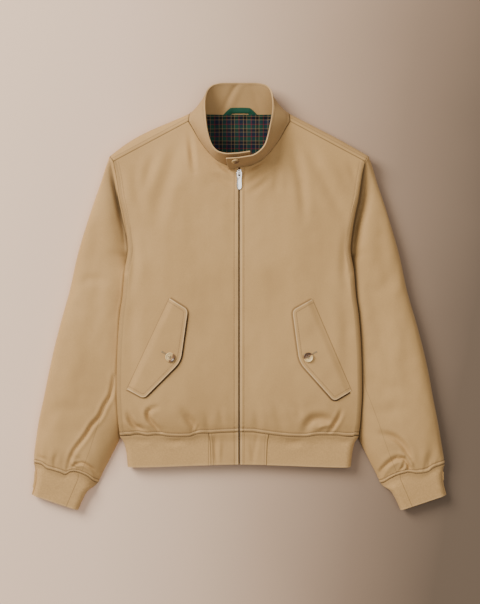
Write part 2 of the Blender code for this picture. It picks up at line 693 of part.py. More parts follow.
def surface_height(piece, below=False):
    """A function that gives the height, in mm, of a piece's upper face, or its wall's underside, in plan."""
    graph = bpy.context.evaluated_depsgraph_get()
    graph.update()
    tree = BVHTree.FromObject(piece, graph)

    def height(x, y):
        if below:
            hit = tree.ray_cast(Vector((x * MM, y * MM, 0.012)), Vector((0, 0, 1)))[0]
        else:
            hit = tree.ray_cast(Vector((x * MM, y * MM, 1)), Vector((0, 0, -1)))[0]
        return None if hit is None else hit.z / MM

    return height


FLAP_CORNERS = {"top": (136.8, -4.8), "bottom": (214.7, -178.1)}
FLAP_FREE = [(100.1, -27.1), (113.2, -124.9), (180.1, -197.7)]
FLAP_BUTTON_AT = (131.3, -116.3)


FLAP_ROWS = (0, 0.4, 0.78, 0.92, 1)
FLAP_CORNER = 9.0


def corner_point(before, corner, after, at, cut=FLAP_CORNER):
    """A point round a corner whose two straight edges are cut back, at 0 to 1."""
    start = corner + (before - corner) / np.linalg.norm(before - corner) * cut
    end = corner + (after - corner) / np.linalg.norm(after - corner) * cut
    return mix(mix(start, corner, at), mix(corner, end, at), at)


def flap_plan():
    """The flap in plan, as rows from its sewn edge to its free edge."""
    top, bottom = np.array(FLAP_CORNERS["top"]), np.array(FLAP_CORNERS["bottom"])
    first, tip, last = (np.array(p) for p in FLAP_FREE)
    shares = (0, 0.03, 0.09, 0.22, 0.36, 0.46, 0.55, 0.64, 0.76, 0.91, 0.97, 1)
    free = [
        corner_point(top, first, tip, 0.5), corner_point(top, first, tip, 0.76),
        corner_point(top, first, tip, 1), mix(first, tip, 0.45),
        corner_point(first, tip, last, 0, 20), corner_point(first, tip, last, 0.3, 20),
        corner_point(first, tip, last, 0.7, 20), corner_point(first, tip, last, 1, 20),
        mix(tip, last, 0.58), corner_point(tip, last, bottom, 0), corner_point(tip, last, bottom, 0.24),
        corner_point(tip, last, bottom, 0.5),
    ]
    rows = []
    for depth in FLAP_ROWS:
        row = [mix(mix(top, bottom, s), point, depth) for s, point in zip(shares, free)]
        for k, (sewn, corner, along) in ((0, (top, first, tip)), (-1, (bottom, last, tip))):
            if depth < 1:
                row[k] = mix(sewn, corner, min(depth, 0.78))
            if depth == 0.92:
                row[k] = corner_point(sewn, corner, along, 0.26)
        rows.append(row)
    return rows


def flap_grid(side, height):
    rows = []
    for depth, row in zip(FLAP_ROWS, flap_plan()):
        lift = FLAP + 0.4 + 1.6 * depth**2
        rows.append([(side * x, y, height(side * x, y) + lift) for x, y in row])
    return np.array(rows)


ZIP_ROWS = (
    -318, -298.5, -278, -267.4, -261.5, -256, -246, -236, -222, -204, -180, -140, -85, -30, 25, 87, 134, 181,
    208, 229,
)


def tape_grid(side, heights):
    """A zip tape under the front's edge, by rows from the band's free edge to the slider."""
    rows = []
    for y in ZIP_ROWS:
        row = []
        for x in (0.35, 4.0, 9.0, TAPE_WIDE):
            z = min(h for h in (height(side * max(x, 1.8), y) for height in heights) if h is not None)
            row.append((side * x, y, z - 0.6))
        rows.append(row)
    return np.array(rows)


def lining_grid():
    """The part of the back's lining that shows through the neck, by rows from the neck seam down."""
    rows = []
    for y, half in ((337.5, 81), (325, 95), (310, 104), (250, 108), (190, 108)):
        rows.append([(x, y, CLOTH + SEAM_GAP + LINING) for x in np.linspace(-half, half, 5)])
    return np.array(rows)


LOOP_LINE = [
    (-23.5, 339.6), (-21.8, 344.0), (-18.0, 350.0), (-12.5, 352.6), (-4.0, 352.8), (2.0, 352.9),
    (8.0, 352.8),
    (15.5, 352.6), (21.5, 350.0), (25.3, 344.0), (27.0, 339.6),
]
LOOP_WIDE = 9.8


def loop_grid(collar_height):
    """The hanger loop, flat on the collar's inner side, by rows along its length."""
    line = [np.array(p) for p in LOOP_LINE]
    rows = []
    for k, point in enumerate(line):
        run = line[min(k + 1, len(line) - 1)] - line[max(k - 1, 0)]
        out = np.array([-run[1], run[0]]) / np.linalg.norm(run)
        lift = 1.6 * sin(pi * k / (len(line) - 1))
        row = []
        for across in (0.5, 0.17, -0.17, -0.5):
            x, y = point + out * LOOP_WIDE * across
            under = max(collar_height(x, max(y, 343.0)), COLLAR + 1.2)
            row.append((x, y, under + SEAM_GAP + TAPE + lift))
        rows.append(row)
    return np.array(rows)


def add_box(shape, x, y, z, bevel=0.0):
    """A box given by its limits in mm along each axis."""
    made = bmesh.ops.create_cube(shape, size=1)["verts"]
    for vert in made:
        vert.co = Vector([mix(low, high, c + 0.5) * MM for c, (low, high) in zip(vert.co, (x, y, z))])
    if bevel:
        edges = list({e for v in made for e in v.link_edges})
        bmesh.ops.bevel(
            shape, geom=edges, offset=bevel * MM, affect="EDGES", segments=1, profile=0.5, material=-1
        )
    return made


def boolean(piece, cutter, operation):
    change = piece.modifiers.new(operation.lower(), "BOOLEAN")
    change.operation = operation
    change.solver = "EXACT"
    change.object = cutter


def solid(jacket, name, boxes, material=None):
    """An object made of one or more separate boxes. Without a material it is a cutter."""
    shape = bmesh.new()
    for box in boxes:
        add_box(shape, *box)
    mesh = bpy.data.meshes.new(name)
    shape.to_mesh(mesh)
    shape.free()
    if material:
        return jacket.place(name, mesh, material, smooth=False)
    cutter = bpy.data.objects.new(name, mesh)
    jacket.cutters.objects.link(cutter)
    cutter.parent = jacket.frame
    cutter.hide_render = True
    cutter.display_type = "WIRE"
    return cutter


def add_zip_slider(jacket, y, level):
    """The slider: a plate over the zip with a bridge that the pull hangs from."""
    plate = ((-3.9, 3.9), (y - 5.5, y + 4.5), (level + 0.4, level + 2.0), 0.5)
    slider = solid(jacket, "zip_slider", [plate], "zip_metal")
    bridge_box = ((-1.2, 1.2), (y - 3.6, y + 3.2), (level + 1.2, level + 6.2), 0.5)
    bridge = solid(jacket, "slider_bridge", [bridge_box])
    hole = solid(jacket, "slider_hole", [((-3, 3), (y - 1.7, y + 1.5), (level + 2.4, level + 5.3))])
    stem = solid(jacket, "slider_stem", [((-0.7, 0.7), (y - 4.5, y + 3.5), (level - 4.0, level + 1.2))])
    for cutter, operation in ((bridge, "UNION"), (hole, "DIFFERENCE"), (stem, "UNION")):
        boolean(slider, cutter, operation)
    return slider


def add_zip_pull(jacket, y, level):
    """The pull tab, hung on the bridge and lying down the front. Its origin is on its hinge."""
    pivot = level + 3.85
    wide_top, wide_low, half = 5.15, 4.35, 0.85
    shape = bmesh.new()
    made = add_box(shape, (-1, 1), (-PULL_LONG, 0.9), (-half, half))
    for vert in made:
        share = (0.9 - vert.co.y / MM) / (PULL_LONG + 0.9)
        wide = mix(wide_top, wide_low, share)
        vert.co.x = wide * MM * (1 if vert.co.x > 0 else -1)
    upright = [e for e in shape.edges if abs(e.verts[0].co.z - e.verts[1].co.z) > MM]
    bmesh.ops.bevel(
        shape, geom=upright, offset=1.6 * MM, affect="EDGES", segments=3, profile=0.5, material=-1
    )
    mesh = bpy.data.meshes.new("zip_pull")
    shape.to_mesh(mesh)
    shape.free()
    pull = jacket.place("zip_pull", mesh, "zip_metal", smooth=False)
    pull.location = (0, y * MM, pivot * MM)
    pull.rotation_euler = (radians(1.6), 0, 0)
    slot = solid(jacket, "pull_slot", [((-2.2, 2.2), (-8.7, -0.85), (-3, 3))])
    slot.location = pull.location
    slot.rotation_euler = pull.rotation_euler
    boolean(pull, slot, "DIFFERENCE")
    return pull


BUTTON_PROFILE = Table(
    "step radius height",
    (0, 0, 0.0), (1, 0.9, 0.0), (2, 1.0, 0.1), (3, 1.0, 0.24), (4, 0.93, 0.34), (5, 0.62, 0.44),
    (6, 0, 0.48),
)


def add_button(jacket, name, wide, height, place, reach):
    """A domed button turned about its own axis, lying on the cloth whose height is given.

    It tilts as the cloth does between two places a reach to either side.
    """
    shape = bmesh.new()
    radius = wide / 2
    profile = [
        shape.verts.new(Vector((r * radius * MM, 0, h * radius * MM))) for _, r, h in BUTTON_PROFILE.points()
    ]
    edges = [shape.edges.new((a, b)) for a, b in zip(profile, profile[1:])]
    bmesh.ops.spin(
        shape, geom=profile + edges, angle=2 * pi, steps=24, axis=(0, 0, 1), cent=(0, 0, 0), use_merge=True
    )
    bmesh.ops.remove_doubles(shape, verts=shape.verts, dist=0.00001)
    bmesh.ops.recalc_face_normals(shape, faces=shape.faces)
    mesh = bpy.data.meshes.new(name)
    shape.to_mesh(mesh)
    shape.free()
    x, y = place
    right, left = height(x + reach, y), height(x - reach, y)
    up, down = height(x, y + reach), height(x, y - reach)
    normal = Vector((left - right, down - up, 2 * reach)).normalized()
    level = max((right + left) / 2, (up + down) / 2, height(x, y))
    button = jacket.place(name, mesh, "horn")
    button.location = (Vector((x, y, level)) + normal * BUTTON_GAP) * MM
    button.rotation_euler = normal.to_track_quat("Z", "Y").to_euler()
    return button


def main():
    for old in list(bpy.data.objects):
        bpy.data.objects.remove(old, do_unlink=True)
    jacket = Jacket()
    up = (0, 0, 1)
    front_left = front_grid(1, LEFT_FRONT_FOLDS)
    front_right = front_grid(-1, RIGHT_FRONT_FOLDS)
    plain_right = front_right * (-1, 1, 1)
    back = back_grid(front_left)
    jacket.cloth("back", back, CLOTH, "twill", (0, 0, -1), mirror=True)
    left_piece = jacket.cloth("front_left", front_left, CLOTH, "twill", up)
    right_piece = jacket.cloth("front_right", front_right, CLOTH, "twill", up)
    sleeve_left = sleeve_grid(front_left, back, 1, LEFT_SLEEVE_FOLDS)
    sleeve_right = sleeve_grid(plain_right, back, -1, RIGHT_SLEEVE_FOLDS)
    for word, rings in (("left", sleeve_left), ("right", sleeve_right)):
        top, under = sleeve_halves(rings)
        jacket.cloth(f"sleeve_{word}", top, CLOTH, "twill", up)
        jacket.cloth(f"sleeve_under_{word}", under, CLOTH, "twill", (0, 0, -1))
    jacket.cloth("cuff_left", cuff_grid(sleeve_left, 1), RIB, "rib", up, closed=True)
    jacket.cloth("cuff_right", cuff_grid(sleeve_right, -1), RIB, "rib", up, closed=True)
    band = band_grid(body_hem(front_left, front_right, back))
    tab = 3
    jacket.cloth("band_tab_left", band[:, :tab], CLOTH, "twill", up)
    jacket.cloth("band_tab_right", band[:, -tab:], CLOTH, "twill", up)
    rib = band[:, tab - 1: band.shape[1] - tab + 1].copy()
    rib[:, 0, 0] += SEAM_GAP
    rib[:, -1, 0] -= SEAM_GAP
    jacket.cloth("band_rib", rib, RIB, "rib", up)
    jacket.cloth("collar", collar_grid(front_left, front_right, back), COLLAR, "twill", (0, -1, 0.5))
    band_tabs = {1: "band_tab_left", -1: "band_tab_right"}
    for side, piece, word in ((1, left_piece, "left"), (-1, right_piece, "right")):
        over = surface_height(piece)
        jacket.cloth(f"flap_{word}", flap_grid(side, over), FLAP, "twill", up)
        flap_top = surface_height(jacket.collection.objects[f"flap_{word}"])
        place = (side * FLAP_BUTTON_AT[0], FLAP_BUTTON_AT[1])
        add_button(jacket, f"flap_button_{word}", FLAP_BUTTON, flap_top, place, FLAP_BUTTON / 2)
        under = [surface_height(p, below=True) for p in (piece, jacket.collection.objects[band_tabs[side]])]
        jacket.cloth(f"zip_tape_{word}", tape_grid(side, under), TAPE, "twill", up)
    front_top = surface_height(left_piece)
    level = front_top(3.5, SLIDER_Y)
    add_zip_slider(jacket, SLIDER_Y, level)
    add_zip_pull(jacket, SLIDER_Y - 0.1, level)
    jacket.cloth("lining_back", lining_grid(), LINING, "plaid", up)
    collar_top = surface_height(jacket.collection.objects["collar"])
    add_button(jacket, "collar_button", COLLAR_BUTTON, collar_top, COLLAR_BUTTON_AT, 3.0)
    jacket.cloth("hanger_loop", loop_grid(collar_top), TAPE, "ribbon", up)


main()
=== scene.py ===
"""A tan zipped jacket laid flat, face up: cloth, rib, lining, sewing, zip and buttons round the frame."""

import json
import logging
from dataclasses import dataclass, field
from enum import Enum
from math import cos, pi, radians, sin
from typing import Any, Iterable, Mapping, Optional, Sequence, Union

import bmesh
import bpy
import numpy as np
from mathutils import Matrix, Vector, noise
from mathutils.bvhtree import BVHTree


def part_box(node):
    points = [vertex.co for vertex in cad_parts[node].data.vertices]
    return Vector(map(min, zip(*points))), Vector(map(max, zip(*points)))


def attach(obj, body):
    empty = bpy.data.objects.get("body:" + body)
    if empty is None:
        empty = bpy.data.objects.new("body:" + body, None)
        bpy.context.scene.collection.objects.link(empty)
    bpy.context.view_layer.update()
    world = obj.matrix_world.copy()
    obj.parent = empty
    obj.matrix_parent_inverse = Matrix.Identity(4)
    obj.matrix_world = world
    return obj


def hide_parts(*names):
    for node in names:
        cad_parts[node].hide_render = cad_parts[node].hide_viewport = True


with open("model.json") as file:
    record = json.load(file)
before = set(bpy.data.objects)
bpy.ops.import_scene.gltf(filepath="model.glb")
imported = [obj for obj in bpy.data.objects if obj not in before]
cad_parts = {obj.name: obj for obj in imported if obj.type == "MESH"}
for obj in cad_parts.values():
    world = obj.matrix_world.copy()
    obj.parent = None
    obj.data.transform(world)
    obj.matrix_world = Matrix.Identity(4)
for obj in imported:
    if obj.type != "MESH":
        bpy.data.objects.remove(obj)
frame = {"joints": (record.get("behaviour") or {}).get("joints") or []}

LOG = logging.getLogger("jacket")
# A distance, in millimetres, that no seam's painted marks reach, nor the painted highlight, wear and shade.
FAR = 60
MM = 0.001
BODY = "jacket"
BATCH = 40
Array = np.ndarray
Number = Union[float, Array]


# ---------------------------------------------------------------- curves and tables


class Table:
    """Rows with named columns, read along a smooth curve that never overshoots them."""

    def __init__(self, columns: str, *rows: Sequence[float]) -> None:
        """Sort the rows by their first column and work out the curve's slope at each.

        Args:
            columns: the columns' names, the first being the one that is looked up.
            rows: one row of numbers for each place.
        """
        self.columns = columns.split()
        self.rows = np.array(sorted(tuple(r) for r in rows), float)
        keys, values = self.rows[:, 0], self.rows[:, 1:]
        step = np.diff(keys)[:, None]
        slope = np.diff(values, axis=0) / step
        self.tangents = np.zeros_like(values)
        self.tangents[0], self.tangents[-1] = slope[0], slope[-1]
        before, after = 2 * step[1:] + step[:-1], step[1:] + 2 * step[:-1]
        with np.errstate(divide="ignore", invalid="ignore"):
            harmonic = (before + after) / (before / slope[:-1] + after / slope[1:])
        self.tangents[1:-1] = np.where(slope[:-1] * slope[1:] > 0, np.nan_to_num(harmonic), 0)

    def read(self, column: str, at: Number) -> Array:
        """The value of a column at one place or at many.

        Args:
            column: which column.
            at: where, in the first column's unit.

        Returns:
            The values, in the shape of at.
        """
        keys = self.rows[:, 0]
        which = self.columns.index(column)
        values, tangents = self.rows[:, which], self.tangents[:, which - 1]
        at = np.asarray(at, float)
        i = np.clip(np.searchsorted(keys, at) - 1, 0, len(keys) - 2)
        step = keys[i + 1] - keys[i]
        t = np.clip((at - keys[i]) / step, 0, 1)
        return (
            values[i] * (1 + 2 * t) * (1 - t) ** 2 + tangents[i] * step * t * (1 - t) ** 2
            + values[i + 1] * t * t * (3 - 2 * t) - tangents[i + 1] * step * t * t * (1 - t)
        )


def lengths_along(points: Array) -> Array:
    """Each point's distance along the line through them all."""
    return np.concatenate([[0], np.cumsum(np.linalg.norm(np.diff(points, axis=0), axis=1))])


def shares_along(points: Array) -> Array:
    """Each point's share of the length of the line through them all."""
    lengths = lengths_along(points)
    return lengths / lengths[-1]


def read_line(line: Array, keys: Sequence[float], at: Number) -> Array:
    """Places on a line of straight steps, whose points lie at keys along it."""
    return np.stack([np.interp(at, keys, line[:, k]) for k in range(line.shape[1])], axis=-1)


def unit(vectors: Array) -> Array:
    """Vectors brought to length 1."""
    return vectors / np.linalg.norm(vectors, axis=-1, keepdims=True)


def leftward(path: Array) -> Array:
    """The way to the left of a path in plan, at each of its points."""
    run = np.gradient(path, axis=0)
    return unit(np.column_stack([-run[:, 1], run[:, 0]]))


def curve(points: Sequence[Sequence[float]], shares: Number) -> Array:
    """Points at shares of the length of a smooth curve.

    Args:
        points: the places it runs through, in millimetres.
        shares: from 0 at its start to 1 at its end.

    Returns:
        One point for each share.
    """
    places = np.array(points, float)
    along = shares_along(places)
    names = "s " + " ".join("xyz"[: places.shape[1]])
    table = Table(names, *[(s, *p) for s, p in zip(along, places)])
    return np.stack([table.read(axis, shares) for axis in names.split()[1:]], axis=-1)


def ease(x: Number) -> Array:
    """0 below 0, 1 above 1, and smooth between."""
    x = np.clip(x, 0, 1)
    return x * x * (3 - 2 * x)


def mix(a: Number, b: Number, share: Number) -> Array:
    """The value that is a share of the way from a to b."""
    return a + (b - a) * share


def bell(x: Number, wide: float) -> Array:
    """A bump of height 1 at 0 that has gone by about twice its width."""
    return np.exp(-((x / wide) ** 2))


def rumple(x: Array, y: Array, scale: float, seed: float) -> Array:
    """Soft uneven waves of about 1 either way, the same on each run.

    Args:
        x: places across, in millimetres.
        y: places along.
        scale: the size of one wave.
        seed: moves to another part of the pattern.

    Returns:
        One height for each place.
    """
    x, y = np.broadcast_arrays(x, y)
    flat = zip(np.ravel(x), np.ravel(y))
    values = [noise.noise(Vector((a / scale + seed, b / scale - seed, seed * 1.7))) for a, b in flat]
    return np.array(values).reshape(np.shape(x)) * 1.6


def beside(line: Array, x: Array, y: Array) -> tuple[Array, Array, Array]:
    """Where places in plan lie beside a line.

    Args:
        line: its points.
        x: places across, in millimetres.
        y: places along.

    Returns:
        Their distances from it, the same with a sign for its left side, and their shares of its length.
    """
    best, side, share = np.full(np.shape(x), 1e9), np.zeros(np.shape(x)), np.zeros(np.shape(x))
    lengths = shares_along(line)
    for k, (start, end) in enumerate(zip(line, line[1:])):
        run = end - start
        t = np.clip(((x - start[0]) * run[0] + (y - start[1]) * run[1]) / (run @ run), 0, 1)
        dx, dy = x - start[0] - t * run[0], y - start[1] - t * run[1]
        away = np.hypot(dx, dy)
        nearer = away < best
        best = np.where(nearer, away, best)
        side = np.where(nearer, (run[0] * dy - run[1] * dx) / np.hypot(*run), side)
        share = np.where(nearer, mix(lengths[k], lengths[k + 1], t), share)
    return best, side, share


def signed(line: Sequence[Sequence[float]], x: Array, y: Array) -> Array:
    """Distances in plan from a line, less than 0 on its right side."""
    best, side, _ = beside(np.array(line, float), x, y)
    return best * np.where(side < 0, -1.0, 1.0)


@dataclass(frozen=True)
class Crease:
    """A soft trough in the cloth, or a ridge where deep is negative, along a line in plan."""

    line: tuple[tuple[float, float], ...]
    wide: float
    deep: float
    bank: float = 0.35

    def height(self, x: Array, y: Array) -> Array:
        """How far it moves the cloth up or down.

        Args:
            x: places across, in millimetres.
            y: places along.

        Returns:
            The change in height at each place.
        """
        smooth = curve(self.line, np.linspace(0, 1, 4 * len(self.line) - 3))
        best, side, share = beside(smooth, x, y)
        taper = 0.25 + 0.75 * np.sin(pi * np.clip(share, 0.02, 0.98)) ** 0.7
        trough = bell(best, self.wide)
        banks = (
            self.bank * bell(np.abs(side) - 1.7 * self.wide, self.wide)
            * bell(best - np.abs(side), self.wide)
        )
        return self.deep * taper * (banks - trough)


def creased(creases: Iterable[Crease], x: Array, y: Array) -> Array:
    """The sum of several creases' heights."""
    total = np.zeros(np.shape(x))
    for crease in creases:
        total += crease.height(x, y)
    return total


# ---------------------------------------------------------------- shader arithmetic


class Wire:
    """A node's output, with Python's arithmetic adding the Math nodes."""

    def __init__(self, shader: "Shader", socket: bpy.types.NodeSocket) -> None:
        """Keep the socket and the shader that it belongs to."""
        self.shader = shader
        self.socket = socket

    def math(self, operation: str, *others: Any, clamp: bool = False) -> "Wire":
        """A Math node fed by this output and by others."""
        inputs = {k: value for k, value in enumerate((self, *others))}
        return self.shader.node("ShaderNodeMath", {"operation": operation, "use_clamp": clamp}, inputs)

    def flipped(self, operation: str, other: Any) -> "Wire":
        """A Math node with this output in second place."""
        return self.shader.node("ShaderNodeMath", {"operation": operation}, {0: other, 1: self})

    def __add__(self, other: Any) -> "Wire":
        """Add."""
        return self.math("ADD", other)

    def __radd__(self, other: Any) -> "Wire":
        """Add, from the other side."""
        return self.flipped("ADD", other)

    def __sub__(self, other: Any) -> "Wire":
        """Take away."""
        return self.math("SUBTRACT", other)

    def __rsub__(self, other: Any) -> "Wire":
        """Take this away from a number."""
        return self.flipped("SUBTRACT", other)

    def __mul__(self, other: Any) -> "Wire":
        """Multiply."""
        return self.math("MULTIPLY", other)

    def __truediv__(self, other: Any) -> "Wire":
        """Divide."""
        return self.math("DIVIDE", other)

    def ramp(self, low: float, high: float) -> "Wire":
        """0 below low, 1 above high, smooth between."""
        settings = {"interpolation_type": "SMOOTHSTEP"}
        return self.shader.node(
            "ShaderNodeMapRange", settings, {"Value": self, "From Min": low, "From Max": high}
        )

    def stripe(self, centre: float, half: float, soft: float) -> "Wire":
        """1 inside a stripe of a repeat that is one unit wide, 0 outside it."""
        away = ((self - centre + 0.5).math("FRACT") - 0.5).math("ABSOLUTE")
        return 1 - away.ramp(half - soft, half + soft)


class Shader:
    """A material and the nodes that feed its surface."""

    def __init__(self, name: str) -> None:
        """Start a material with a Principled surface."""
        self.material = bpy.data.materials.new(name)
        self.material.use_nodes = True
        self.tree = self.material.node_tree
        self.surface = self.tree.nodes["Principled BSDF"]

    def node(
        self, kind: str, settings: Optional[Mapping[str, Any]] = None,
        inputs: Optional[Mapping[Union[int, str], Any]] = None, output: Union[int, str] = 0,
    ) -> Wire:
        """Add a node.

        Args:
            kind: its type.
            settings: its own settings, set first; stops are a ramp's (place, colour) pairs.
            inputs: values or wires for its sockets.
            output: which output to hand back.

        Returns:
            That output.
        """
        made = self.tree.nodes.new(kind)
        for name, value in (settings or {}).items():
            if name == "stops":
                ramp = made.color_ramp
                while len(ramp.elements) < len(value):
                    ramp.elements.new(0.5)
                for element, (place, colour) in zip(ramp.elements, value):
                    element.position = place
                    element.color = (*colour, 1)
            else:
                setattr(made, name, value)
        for name, value in (inputs or {}).items():
            self.feed(made.inputs[name], value)
        return Wire(self, made.outputs[output])

    def feed(self, socket: bpy.types.NodeSocket, value: Any) -> None:
        """Link a wire to a socket, or set its value."""
        if isinstance(value, Wire):
            self.tree.links.new(value.socket, socket)
        elif hasattr(value, "__len__") and socket.type == "RGBA":
            socket.default_value = (*value, 1)
        else:
            socket.default_value = value

    def set(self, **values: Any) -> None:
        """Feed the surface's sockets, their names written with underscores."""
        for name, value in values.items():
            self.feed(self.surface.inputs[name.replace("_", " ")], value)

    def place(self) -> Wire:
        """The object's own coordinates, in metres."""
        return self.node("ShaderNodeTexCoord", output="Object")

    def cloth_place(self) -> Wire:
        """The cloth's own coordinates, in metres along its threads."""
        return self.node("ShaderNodeTexCoord", output="UV")

    def field(self, name: str) -> Wire:
        """A number that the cloth's own vertices carry."""
        return self.node("ShaderNodeAttribute", {"attribute_name": name}, output="Fac")

    def split(self, vector: Wire) -> tuple[Wire, Wire, Wire]:
        """A vector's three parts."""
        parts = self.node("ShaderNodeSeparateXYZ", inputs={0: vector})
        outputs = parts.socket.node.outputs
        return parts, Wire(self, outputs[1]), Wire(self, outputs[2])

    def speckle(self, where: Wire, scale: float, detail: float = 2.0) -> Wire:
        """Noise of about one grain in each 1/scale metres."""
        inputs = {"Vector": where, "Scale": scale, "Detail": detail}
        return self.node("ShaderNodeTexNoise", {"noise_dimensions": "3D"}, inputs)

    def blend(self, share: Any, a: Any, b: Any) -> Wire:
        """Two colours mixed."""
        return self.node("ShaderNodeMix", {"data_type": "RGBA"}, {0: share, 6: a, 7: b}, output=2)

    def bump(self, height: Wire, strength: float, distance: float) -> Wire:
        """A normal that follows a height."""
        return self.node(
            "ShaderNodeBump", inputs={"Strength": strength, "Distance": distance, "Height": height}
        )


# ---------------------------------------------------------------- finishes

Colour = tuple[float, float, float]


@dataclass(frozen=True)
class Mark:
    """A painted line beside a seam or an edge of the cloth, at a distance its vertices carry in millimetres:
    painted shade, and painted highlight when pale.
    """

    field: str
    at: float
    half: float
    strength: float
    pale: bool = False
    scale_by: str = ""


def marked(shader: Shader, colour: Wire, cloth: "Twill | Knit") -> Wire:
    """A cloth's colour with painted highlight, wear and shade, and its seams' painted lines.

    Args:
        shader: the material.
        colour: the plain colour.
        cloth: the finish, with its lines and their colours.

    Returns:
        The colour.
    """
    # Above 0 the field paints highlight and wear pale; below 0 it paints shade.
    worn = shader.field("worn")
    colour = shader.blend(worn.math("MULTIPLY", 0.6, clamp=True), colour, cloth.pale)
    colour = shader.blend(worn.math("MULTIPLY", -0.9, clamp=True), colour, cloth.shaded)
    for mark in cloth.marks:
        away = (shader.field(mark.field) - mark.at).math("ABSOLUTE")
        share = (1 - away.ramp(mark.half * 0.4, mark.half * 1.3)) * mark.strength
        if mark.scale_by:
            share = share * shader.field(mark.scale_by)
        colour = shader.blend(share, colour, cloth.pale if mark.pale else cloth.deep)
    return colour


@dataclass(frozen=True)
class Twill:
    """Fine tan twill with a soft sheen and slightly uneven dye."""

    name: str = "tan_twill"
    light: Colour = (0.554, 0.349, 0.143)
    dark: Colour = (0.482, 0.299, 0.119)
    # pale is the colour of painted highlight and wear, deep of the seams' painted lines of shade, shaded of
    # broad painted shade.
    pale: Colour = (0.78, 0.56, 0.31)
    deep: Colour = (0.080, 0.042, 0.017)
    shaded: Colour = (0.022, 0.012, 0.006)
    rib: float = 0.0011
    marks: tuple[Mark, ...] = ()

    def build(self) -> bpy.types.Material:
        """Make the material."""
        shader = Shader(self.name)
        where = shader.place()
        u, v, _ = shader.split(shader.cloth_place())
        cloud = shader.speckle(where, 9.0, 3.0)
        slub = shader.speckle(where, 420.0, 2.0)
        tone = (cloud * 0.7 + slub * 0.3).ramp(0.3, 0.7)
        wales = ((u + v * 1.6) / self.rib).math("FRACT")
        wale = (wales - 0.5).math("ABSOLUTE") * 2
        threads = ((v - u * 0.3) / (self.rib * 0.5)).math("SINE") * 0.15
        colour = shader.blend(tone, self.dark, self.light)
        grain = shader.speckle(where, 900.0, 2.0)
        colour = shader.blend((1 - wale) * 0.12 + (grain - 0.5) * 0.5, colour, (0.36, 0.22, 0.09))
        colour = marked(shader, colour, self)
        height = wale * 0.6 + threads + slub * 0.5
        shader.set(
            Base_Color=colour, Roughness=0.78 - tone * 0.06, Normal=shader.bump(height, 0.35, 0.00018),
            Sheen_Weight=0.12, Sheen_Roughness=0.45, Sheen_Tint=(0.95, 0.82, 0.6), Specular_IOR_Level=0.3,
        )
        return shader.material


@dataclass(frozen=True)
class Knit:
    """Fine tan rib knit."""

    name: str = "tan_rib"
    light: Colour = (0.605, 0.385, 0.162)
    dark: Colour = (0.449, 0.276, 0.110)
    # pale is the colour of painted highlight and wear, deep of the seams' painted lines of shade, shaded of
    # broad painted shade.
    pale: Colour = (0.78, 0.56, 0.31)
    deep: Colour = (0.080, 0.042, 0.017)
    shaded: Colour = (0.10, 0.055, 0.022)
    pitch: float = 0.0016
    loop: float = 0.0012
    marks: tuple[Mark, ...] = ()

    def build(self) -> bpy.types.Material:
        """Make the material."""
        shader = Shader(self.name)
        u, v, _ = shader.split(shader.cloth_place())
        across = ((u / self.pitch).math("FRACT") - 0.5).math("ABSOLUTE") * 2
        rib = across.ramp(0.1, 0.8)
        chevron = ((v / self.loop + across * 0.6).math("FRACT") - 0.5).math("ABSOLUTE") * 2
        fuzz = shader.speckle(shader.place(), 900.0)
        mottle = shader.speckle(shader.place(), 330.0, 2.0).ramp(0.3, 0.7)
        shade = rib * 0.25 + chevron * 0.15 + fuzz * 0.2 + mottle * 0.4
        colour = shader.blend(shade, self.dark, self.light)
        colour = marked(shader, colour, self)
        shader.set(
            Base_Color=colour, Roughness=0.88,
            Normal=shader.bump(rib + chevron * 0.35 + fuzz * 0.3, 0.5, 0.0003),
            Sheen_Weight=0.2, Sheen_Roughness=0.5, Sheen_Tint=(0.95, 0.82, 0.6), Specular_IOR_Level=0.3,
        )
        return shader.material


@dataclass(frozen=True)
class Plaid:
    """The lining's plaid: green and navy with black, red and tan lines, woven both ways alike."""

    name: str = "plaid_lining"
    repeat: float = 0.02343
    start: tuple[float, float] = (0.0122, 0.2949)
    black: Colour = (0.002, 0.004, 0.006)
    green: Colour = (0.0, 0.050, 0.034)
    navy: Colour = (0.002, 0.011, 0.032)
    red: Colour = (0.22, 0.006, 0.022)
    tan: Colour = (0.32, 0.215, 0.105)

    def threads(self, shader: Shader, along: Wire) -> Wire:
        """The colours across one set of threads."""
        colour = shader.blend(along.stripe(0.32, 0.19, 0.02), self.navy, self.green)
        colour = shader.blend(along.stripe(0.0, 0.12, 0.02), colour, self.black)
        colour = shader.blend(along.stripe(0.50, 0.028, 0.014), colour, self.red)
        lines = along.stripe(0.135, 0.020, 0.012).math("MAXIMUM", along.stripe(0.865, 0.020, 0.012))
        return shader.blend(lines, colour, self.tan)

    def build(self) -> bpy.types.Material:
        """Make the material."""
        shader = Shader(self.name)
        where = shader.place()
        drift = shader.speckle(where, 14.0, 1.0) * 0.07
        x, y, _ = shader.split(where)
        across = (x - self.start[0]) / self.repeat + drift
        along = (y - self.start[1]) / self.repeat - drift
        weave = ((x + y) / 0.0009).math("FRACT").ramp(0.35, 0.65)
        colour = shader.blend(0.5, self.threads(shader, across), self.threads(shader, along))
        fleck = shader.speckle(where, 1500.0)
        colour = shader.blend(fleck.ramp(0.35, 0.7) * 0.25, colour, self.black)
        shader.set(
            Base_Color=colour, Roughness=0.8, Normal=shader.bump(weave, 0.25, 0.00015),
            Specular_IOR_Level=0.3,
        )
        return shader.material


